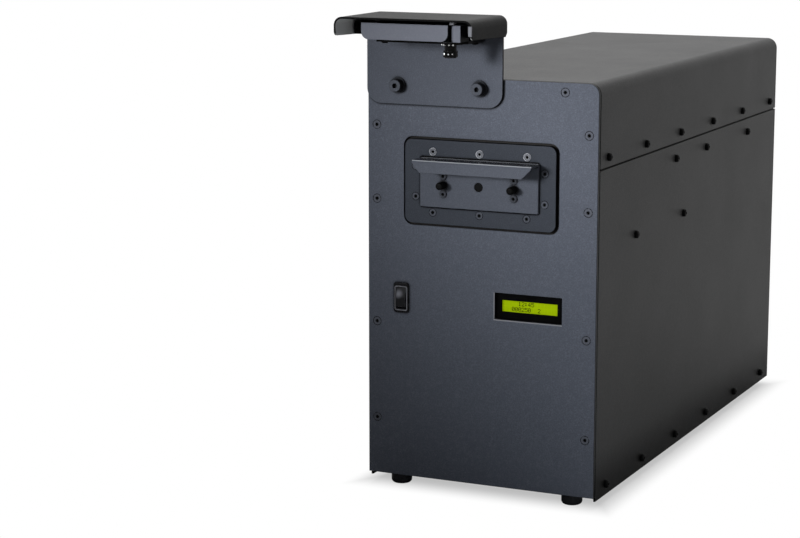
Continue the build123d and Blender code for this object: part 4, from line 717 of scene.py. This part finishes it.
nodeFinishes = {  # nodes that differ from the rest of their slot
    "hood_bracket": makePaint("bracketPaint", bracketPaintLook),
    "aperture_plate": makePaint("aperturePaint", aperturePaintLook),
    "hood_bolts": makePaint("boltPaint", boltPaintLook),
    # frame and rails near black so the gaps to them read as shade
    "front_frame": shadeBlack, "left_side_rail": shadeBlack, "right_side_rail": shadeBlack,
    "cover_screws": casingScrewSteel, "side_panel_screws": casingScrewSteel,
    "hood_screws": casingScrewSteel, "front_panel_screws": panelScrewSteel,
    "aperture_screws": makeMetal("apertureScrewSteel", apertureScrewLook),
    "drawer_screws": makeMetal("drawerScrewSteel", drawerScrewLook),
    "switch_rocker": makePlastic("rockerPlastic", rockerPlasticLook),
    "camera_lens": lensPlastic, "lens_ring": lensPlastic,
    "camera_housing": makePlastic("housingPlastic", housingPlasticLook),
}
for nodeName, node in nodes.items():
    for holder in node.material_slots:
        holder.material = nodeFinishes.get(nodeName, finishes[holder.material.name])
print("finishes:", len(finishes), "on", len(nodes), "nodes")


# pieces made here

def addPiece(name, mesh, finish, body):
    piece = bpy.data.objects.new(name, mesh)
    bpy.context.scene.collection.objects.link(piece)
    mesh.materials.append(finish)
    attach(piece, body)
    return piece


def meshFrom(build, name):
    mesh = bpy.data.meshes.new(name)
    build.normal_update()
    build.to_mesh(mesh)
    build.free()
    return mesh


def addSlab(build, low, high):  # a closed block between two corners
    corners = [build.verts.new((x, y, z)) for x in (low[0], high[0]) for y in (low[1], high[1])
               for z in (low[2], high[2])]
    for ring in ((0, 1, 3, 2), (4, 6, 7, 5), (0, 4, 5, 1), (2, 3, 7, 6), (0, 2, 6, 4), (1, 5, 7, 3)):
        build.faces.new([corners[i] for i in ring])


def joinRings(build, rings):  # quads from each ring of vertices to the next
    for outer, inner in zip(rings, rings[1:]):
        for i in range(len(outer)):
            j = (i + 1) % len(outer)
            build.faces.new((outer[i], outer[j], inner[j], inner[i]))


def turnsOf(sides):
    return [2 * pi * i / sides for i in range(sides)]


# numerals on the display, as dots; each row of a mark is five bits
digits = {
    "lines": ("12:45", "000250  2"), "cell": 0.00355, "lineDrop": 0.0056, "lower": 0.0006, "dot": 0.00062,
    "columns": 5, "thickness": 0.00008, "shift": -0.0042, "color": (0.010, 0.015, 0.001, 1),
    "bloom": (0.02, 0.03, 0.002, 1), "grain": 4000.0, "shine": 0.02,
}
digitRows = {
    "0": (14, 17, 19, 21, 25, 17, 14), "1": (4, 12, 4, 4, 4, 4, 14), "2": (14, 17, 1, 2, 4, 8, 31),
    "4": (2, 6, 10, 18, 31, 2, 2), "5": (31, 16, 30, 1, 1, 17, 14), ":": (0, 12, 12, 0, 12, 12, 0),
    " ": (0, 0, 0, 0, 0, 0, 0),
}


def makeDigits():
    low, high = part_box("display_glass")
    middle = (low + high) / 2
    build = bmesh.new()
    dot, columns = digits["dot"], digits["columns"]
    for lineIndex, line in enumerate(digits["lines"]):
        top = middle.z + digits["lineDrop"] * (1 - lineIndex) - digits["lower"]
        start = middle.x + digits["shift"] - digits["cell"] * len(line) / 2
        for place, mark in enumerate(line):
            for row, bits in enumerate(digitRows[mark]):
                for column in range(columns):
                    if bits >> (columns - 1 - column) & 1:
                        x = start + place * digits["cell"] + column * dot
                        z = top - row * dot
                        addSlab(build, (x, low.y - digits["thickness"], z - dot), (x + dot, low.y, z))
    finish, tree, shader = startFinish("displayInk")
    grain = useGroup(tree, mouldGrain, {
        "Color": digits["color"], "Bloom": digits["bloom"], "Scale": digits["grain"],
    })
    feed(tree, grain["Color"], shader.inputs["Base Color"])
    shader.inputs["Specular IOR Level"].default_value = digits["shine"]
    piece = addPiece("displayDigits", meshFrom(build, "displayDigits"), finish, "tower")


makeDigits()

# dark disc set in the drawer's round hole, a piece standing in for the shade inside it
holeShade = {"radius": 0.0046, "drop": 0.002, "inset": 0.0006, "rim": 0.0005, "sides": 40}


def makeHoleShade():
    pegLow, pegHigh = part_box("drawer_pegs")
    middle = (pegLow + pegHigh) / 2
    face = pegHigh.y + holeShade["inset"]
    build = bmesh.new()
    rings = []
    for radius, y in ((holeShade["radius"], face + holeShade["drop"]), (holeShade["radius"], face),
                      (holeShade["radius"] - holeShade["rim"], face - holeShade["rim"] / 2)):
        rings.append([
            build.verts.new((middle.x + radius * cos(turn), y, middle.z + radius * sin(turn)))
            for turn in turnsOf(holeShade["sides"])
        ])
    joinRings(build, rings)
    build.faces.new(rings[-1])
    build.faces.new(rings[0][::-1])
    bmesh.ops.recalc_face_normals(build, faces=build.faces)
    piece = addPiece("drawerHoleShade", meshFrom(build, "drawerHoleShade"), finishes["peg_black"], "drawer")


makeHoleShade()

# dark discs in the countersunk screws' sockets, pieces standing in for the shade inside them
socketShade = {"inset": 0.0001, "sides": 18, "apart": 0.012, "skin": 0.0002}


def faceCentres(node):  # middles of the flat heads on a node's front, and how far forward they are
    points = [node.matrix_world @ vertex.co for vertex in node.data.vertices]
    face = min(point.y for point in points)
    heads = []
    for point in points:
        if point.y < face + socketShade["skin"]:
            near = [head for head in heads if (head[0] - point).length < socketShade["apart"]]
            if near:
                near[0].append(point)
            else:
                heads.append([point])
    middles = []
    for head in heads:
        wide, tall = [p.x for p in head], [p.z for p in head]
        middles.append(((min(wide) + max(wide)) / 2, (min(tall) + max(tall)) / 2))
    return middles, face


screwSocketShade = {"body": "tower", "nodes": ("front_panel_screws", "aperture_screws"), "radius": 0.00155}
drawerSocketShade = {"body": "drawer", "nodes": ("drawer_screws",), "radius": 0.0014}


def makeSocketShade(name, row):
    build = bmesh.new()
    radius = row["radius"]
    for nodeName in row["nodes"]:
        middles, face = faceCentres(nodes[nodeName])
        for x, z in middles:
            build.faces.new([
                build.verts.new((x + radius * cos(turn), face + socketShade["inset"], z + radius * sin(turn)))
                for turn in turnsOf(socketShade["sides"])
            ])
    print(name + ":", len(build.faces))
    addPiece(name, meshFrom(build, name), shadeBlack, row["body"])


makeSocketShade("screwSocketShade", screwSocketShade)
makeSocketShade("drawerSocketShade", drawerSocketShade)

trimLook = blackPlasticLook | {
    "color": (0.20, 0.20, 0.215, 1), "bloom": (0.26, 0.26, 0.275, 1), "edgeWearShadeAndHighlight": (0.36, 0.36, 0.39, 1),
    "roughness": 0.35, "specular": 0.06,
}
trimPlastic = makePlastic("trimPlastic", trimLook)

# raised rim round the rocker, coloured light grey as a painted highlight; its crown pairs a share of the
# width with a share of the rise
switchRim = {
    "middle": (-0.0886, 0.2043), "half": (0.0073, 0.0131), "corner": 0.0024, "width": 0.0011, "rise": 0.0005,
    "crown": ((0.0, 0.0), (0.3, 0.8), (0.5, 1.0), (0.7, 0.8), (1.0, 0.0)), "cornerSteps": 6,
}


def makeSwitchRim():
    build = bmesh.new()
    back, corner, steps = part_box("switch_housing")[0].y, switchRim["corner"], switchRim["cornerSteps"]
    middle, flat = switchRim["middle"], [half - corner for half in switchRim["half"]]
    outline = []
    for turn, sx, sz in ((0, 1, 1), (1, -1, 1), (2, -1, -1), (3, 1, -1)):
        for step in range(steps + 1):
            angle = pi / 2 * (turn + step / steps)
            outline.append((sx * flat[0], sz * flat[1], cos(angle), sin(angle)))
    rings = []
    for inset, lift in switchRim["crown"]:
        reach, y = corner - inset * switchRim["width"], back - lift * switchRim["rise"]
        rings.append([
            build.verts.new((middle[0] + x + reach * c, y, middle[1] + z + reach * s))
            for x, z, c, s in outline
        ])
    joinRings(build, rings)
    bmesh.ops.recalc_face_normals(build, faces=build.faces)
    addPiece("switchRim", meshFrom(build, "switchRim"), trimPlastic, "tower")


makeSwitchRim()

# painted highlight: pale strips along the lower and left edges of the display window
windowEdge = {
    "node": "display_glass", "half": (0.037, 0.014), "under": 0.0012, "side": 0.0010, "rise": 0.00015,
}
windowEdgeLook = trimLook | {"color": (0.29, 0.29, 0.31, 1), "bloom": (0.36, 0.36, 0.38, 1)}


def makeWindowEdge():
    low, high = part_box(windowEdge["node"])
    middle, face = (low + high) / 2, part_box("front_panel")[0].y
    left, right = middle.x - windowEdge["half"][0], middle.x + windowEdge["half"][0]
    bottom, top = middle.z - windowEdge["half"][1], middle.z + windowEdge["half"][1]
    front, under = face - windowEdge["rise"], bottom - windowEdge["under"]
    build = bmesh.new()
    addSlab(build, (left, front, under), (right, face, bottom))
    addSlab(build, (left - windowEdge["side"], front, under), (left, face, top))
    finish = makePlastic("windowEdgePlastic", windowEdgeLook)
    addPiece("windowEdge", meshFrom(build, "windowEdge"), finish, "tower")


makeWindowEdge()

# pale end of the hood's right flange, and the tab on the camera module
flangeStrip = {
    "low": (0.0232, -0.3634, 0.4862), "high": (0.0272, -0.3626, 0.4962), "bevel": 0.0003,
    "slot": "hood_paint",
}
moduleTab = {
    "low": (-0.0084, -0.3372, 0.4951), "high": (-0.0037, -0.3300, 0.4974), "bevel": 0.0003,
    "slot": "label_paint",
}


def makeStrip(name, strip):
    build = bmesh.new()
    addSlab(build, strip["low"], strip["high"])
    bmesh.ops.bevel(build, geom=build.edges[:], offset=strip["bevel"], segments=2, affect="EDGES")
    addPiece(name, meshFrom(build, name), trimPlastic, "tower")


makeStrip("flangeStrip", flangeStrip)
makeStrip("moduleTab", moduleTab)

# set screws on the lens and its ring: angle from the front, height, how far out, radius
lensPins = {
    "pins": ((-52, 0.4752, 0.0094, 0.0008), (-24, 0.4752, 0.0094, 0.0009), (14, 0.4752, 0.0094, 0.0007),
             (40, 0.4752, 0.0094, 0.0009), (-38, 0.4662, 0.0077, 0.0014), (6, 0.4660, 0.0077, 0.0008),
             (38, 0.4662, 0.0077, 0.0007)),
    "length": 0.0022, "chamfer": 0.0003, "tip": 0.7, "sides": 14,
}


def makeLensPins():
    low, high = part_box("camera_lens")
    middle = (low + high) / 2
    build = bmesh.new()
    for angle, height, out, radius in lensPins["pins"]:
        toward = Vector((sin(radians(angle)), -cos(radians(angle)), 0.0))
        side, up = Vector((-toward.y, toward.x, 0.0)), Vector((0.0, 0.0, 1.0))
        tip = Vector((middle.x, middle.y, height)) + toward * out
        rings = []
        for grow, back in ((1.0, lensPins["length"]), (1.0, lensPins["chamfer"]), (lensPins["tip"], 0.0)):
            rings.append([
                build.verts.new(tip - toward * back + grow * radius * (side * cos(turn) + up * sin(turn)))
                for turn in turnsOf(lensPins["sides"])
            ])
        joinRings(build, rings)
        build.faces.new(rings[-1])
    bmesh.ops.recalc_face_normals(build, faces=build.faces)
    piece = addPiece("lensPins", meshFrom(build, "lensPins"), finishes["bright_steel"], "tower")


makeLensPins()
print("pieces: digits, plug, sockets, switch rim, window edge, flange strip, module tab and lens pins")


# camera, light and floor
shot = {
    "place": (0.88498, -2.34913, 0.65532), "azimuth": 25.2, "elevation": 10.4, "lens": 100.5,
    "sensor": 36.0,
}


def addCamera():
    turn, lift = radians(shot["azimuth"]), radians(shot["elevation"])
    back = Vector((sin(turn) * cos(lift), -cos(turn) * cos(lift), sin(lift)))
    data = bpy.data.cameras.new("photoView")
    data.lens = shot["lens"]
    data.sensor_width = shot["sensor"]
    data.sensor_fit = "HORIZONTAL"
    camera = bpy.data.objects.new("photoView", data)
    camera.location = shot["place"]
    camera.rotation_euler = (-back).to_track_quat("-Z", "Y").to_euler()
    bpy.context.scene.collection.objects.link(camera)
    bpy.context.scene.camera = camera


addCamera()

softBoxes = {
    "nearBox": {"place": (0.30, -0.54, 0.03), "aim": (0.10, -0.276, 0.03), "size": (0.2, 0.2), "power": 0.42,
                "color": (0.90, 0.95, 1.0)},
    "frontBox": {"place": (0.75, -1.9, 1.35), "aim": (0.05, -0.27, 0.33), "size": (1.1, 0.8), "power": 1.0,
                 "color": (0.88, 0.94, 1.0)},
    "topBox": {"place": (0.0, 0.75, 1.8), "aim": (0.0, 0.1, 0.43), "size": (1.4, 1.2), "power": 32.0,
               "color": (1.0, 1.0, 1.0)},
    "rightBox": {"place": (2.2, -0.1, 1.0), "aim": (0.1, 0.0, 0.3), "size": (1.2, 1.2), "power": 3.0,
                 "color": (1.0, 1.0, 1.0)},
    "rearBox": {"place": (1.5, 1.5, 0.9), "aim": (0.12, 0.3, 0.3), "size": (0.8, 0.8), "power": 3.0,
                "color": (1.0, 1.0, 1.0)},
    "leftBox": {"place": (-1.7, -1.5, 0.9), "aim": (0.0, -0.27, 0.3), "size": (0.9, 0.9), "power": 1.0,
                "color": (0.90, 0.95, 1.0)},
}


def addSoftBox(name, box):
    data = bpy.data.lights.new(name, "AREA")
    data.shape = "RECTANGLE"
    data.size, data.size_y = box["size"]
    data.energy = box["power"]
    data.color = box["color"]
    lamp = bpy.data.objects.new(name, data)
    lamp.location = box["place"]
    lamp.visible_camera = False
    lamp.rotation_euler = (Vector(box["aim"]) - Vector(box["place"])).to_track_quat("-Z", "Y").to_euler()
    bpy.context.scene.collection.objects.link(lamp)


for boxName, box in softBoxes.items():
    addSoftBox(boxName, box)

keyBeam = {
    "place": (-0.55, -1.5, 0.62), "aim": (0.10, -0.276, 0.405), "reach": 0.29, "blend": 1.0, "softness": 0.20,
    "power": 102.0, "color": (0.92, 0.95, 1.0),
}


def addKeyBeam(beam):  # a soft-edged beam on the upper right of the front panel
    data = bpy.data.lights.new("keyBeam", "SPOT")
    toward = Vector(beam["aim"]) - Vector(beam["place"])
    data.spot_size = 2 * atan2(beam["reach"], toward.length)
    data.spot_blend = beam["blend"]
    data.shadow_soft_size = beam["softness"]
    data.energy = beam["power"]
    data.color = beam["color"]
    lamp = bpy.data.objects.new("keyBeam", data)
    lamp.location = beam["place"]
    lamp.visible_camera = False
    lamp.rotation_euler = toward.to_track_quat("-Z", "Y").to_euler()
    bpy.context.scene.collection.objects.link(lamp)


addKeyBeam(keyBeam)
room = {"fill": (0.95, 0.97, 1.0, 1), "fillStrength": 0.03, "white": (1, 1, 1, 1), "whiteStrength": 1.0}


def seesBackground(tree):  # rays that show the white paper rather than light the object
    path = addNode(tree, "ShaderNodeLightPath").outputs
    return calc(tree, "MAXIMUM", path["Is Camera Ray"], path["Is Transmission Ray"]), path["Is Glossy Ray"]


def lightRoom():
    world = bpy.data.worlds.new("studio")
    bpy.context.scene.world = world
    world.use_nodes = True
    tree = world.node_tree
    tree.nodes.clear()
    fill = addNode(tree, "ShaderNodeBackground", {"Color": room["fill"], "Strength": room["fillStrength"]})
    white = addNode(tree, "ShaderNodeBackground", {"Color": room["white"], "Strength": room["whiteStrength"]})
    mix = addNode(tree, "ShaderNodeMixShader")
    feed(tree, calc(tree, "MAXIMUM", *seesBackground(tree)), mix.inputs[0])
    tree.links.new(fill.outputs[0], mix.inputs[1])
    tree.links.new(white.outputs[0], mix.inputs[2])
    end = addNode(tree, "ShaderNodeOutputWorld")
    tree.links.new(mix.outputs[0], end.inputs["Surface"])


lightRoom()

floorLook = {
    "steps": (-6.0, -1.2, -0.4, 0.4, 1.2, 6.0), "color": (0.57, 0.57, 0.57, 1),
    "speck": (0.54, 0.54, 0.54, 1), "grain": 300.0, "grainDetail": 3.0, "speckSpan": (0.3, 0.7, 0.0, 0.05),
    "roughness": 0.9, "specular": 0.1,
    "whiteUnder": 0.49, "sideFade": (-0.004, 0.030), "frontFade": (-0.030, 0.028), "glossNear": 0.0,
    "glossOver": 0.42,
}


def layFloor():
    build = bmesh.new()
    steps = floorLook["steps"]
    grid = [[build.verts.new((x, y, 0.0)) for x in steps] for y in steps]
    for row in range(len(steps) - 1):
        for column in range(len(steps) - 1):
            build.faces.new((grid[row][column], grid[row][column + 1],
                             grid[row + 1][column + 1], grid[row + 1][column]))
    finish, tree, shader = startFinish("floorPaper")
    grain = noise(tree, objectPoint(tree), floorLook["grain"], floorLook["grainDetail"])
    speck = remap(tree, grain, *floorLook["speckSpan"])
    feed(tree, mixColor(tree, speck, floorLook["color"], floorLook["speck"]), shader.inputs["Base Color"])
    shader.inputs["Roughness"].default_value = floorLook["roughness"]
    shader.inputs["Specular IOR Level"].default_value = floorLook["specular"]
    split = addNode(tree, "ShaderNodeSeparateXYZ", {"Vector": objectPoint(tree)})
    low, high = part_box("base_plate")
    past = []
    for along, start, end in ((split.outputs["X"], low.x, high.x), (split.outputs["Y"], low.y, high.y)):
        off = calc(tree, "ABSOLUTE", calc(tree, "SUBTRACT", along, (start + end) / 2))
        past.append(calc(tree, "SUBTRACT", off, (end - start) / 2))
    outX, outY = past
    beyond = [calc(tree, "POWER", calc(tree, "MAXIMUM", out, 0.0), 2.0) for out in (outX, outY)]
    away = calc(tree, "SQRT", calc(tree, "ADD", *beyond))
    share = calc(tree, "MAXIMUM", *[
        remap(tree, out, *fade, floorLook["whiteUnder"], 1.0, True)
        for out, fade in ((outX, floorLook["sideFade"]), (outY, floorLook["frontFade"]))
    ])
    # painted shade seen in reflections: for glossy rays the floor fades from white to its lamp-lit grey
    # towards the object
    glossShare = remap(tree, away, 0.0, floorLook["glossOver"], floorLook["glossNear"], 1.0)
    straight, glossy = seesBackground(tree)
    seen = calc(tree, "MAXIMUM", calc(tree, "MULTIPLY", straight, share),
                calc(tree, "MULTIPLY", glossy, glossShare))
    white = addNode(tree, "ShaderNodeEmission", {"Color": room["white"], "Strength": room["whiteStrength"]})
    mix = addNode(tree, "ShaderNodeMixShader")
    feed(tree, seen, mix.inputs[0])
    tree.links.new(shader.outputs[0], mix.inputs[1])
    tree.links.new(white.outputs[0], mix.inputs[2])
    tree.links.new(mix.outputs[0], tree.nodes["Material Output"].inputs["Surface"])
    mesh = meshFrom(build, "floor")
    mesh.materials.append(finish)
    floor = bpy.data.objects.new("floor", mesh)
    bpy.context.scene.collection.objects.link(floor)


layFloor()
bpy.context.scene.view_settings.view_transform = "Standard"
print("studio: camera,", len(softBoxes), "soft boxes, key beam and floor")
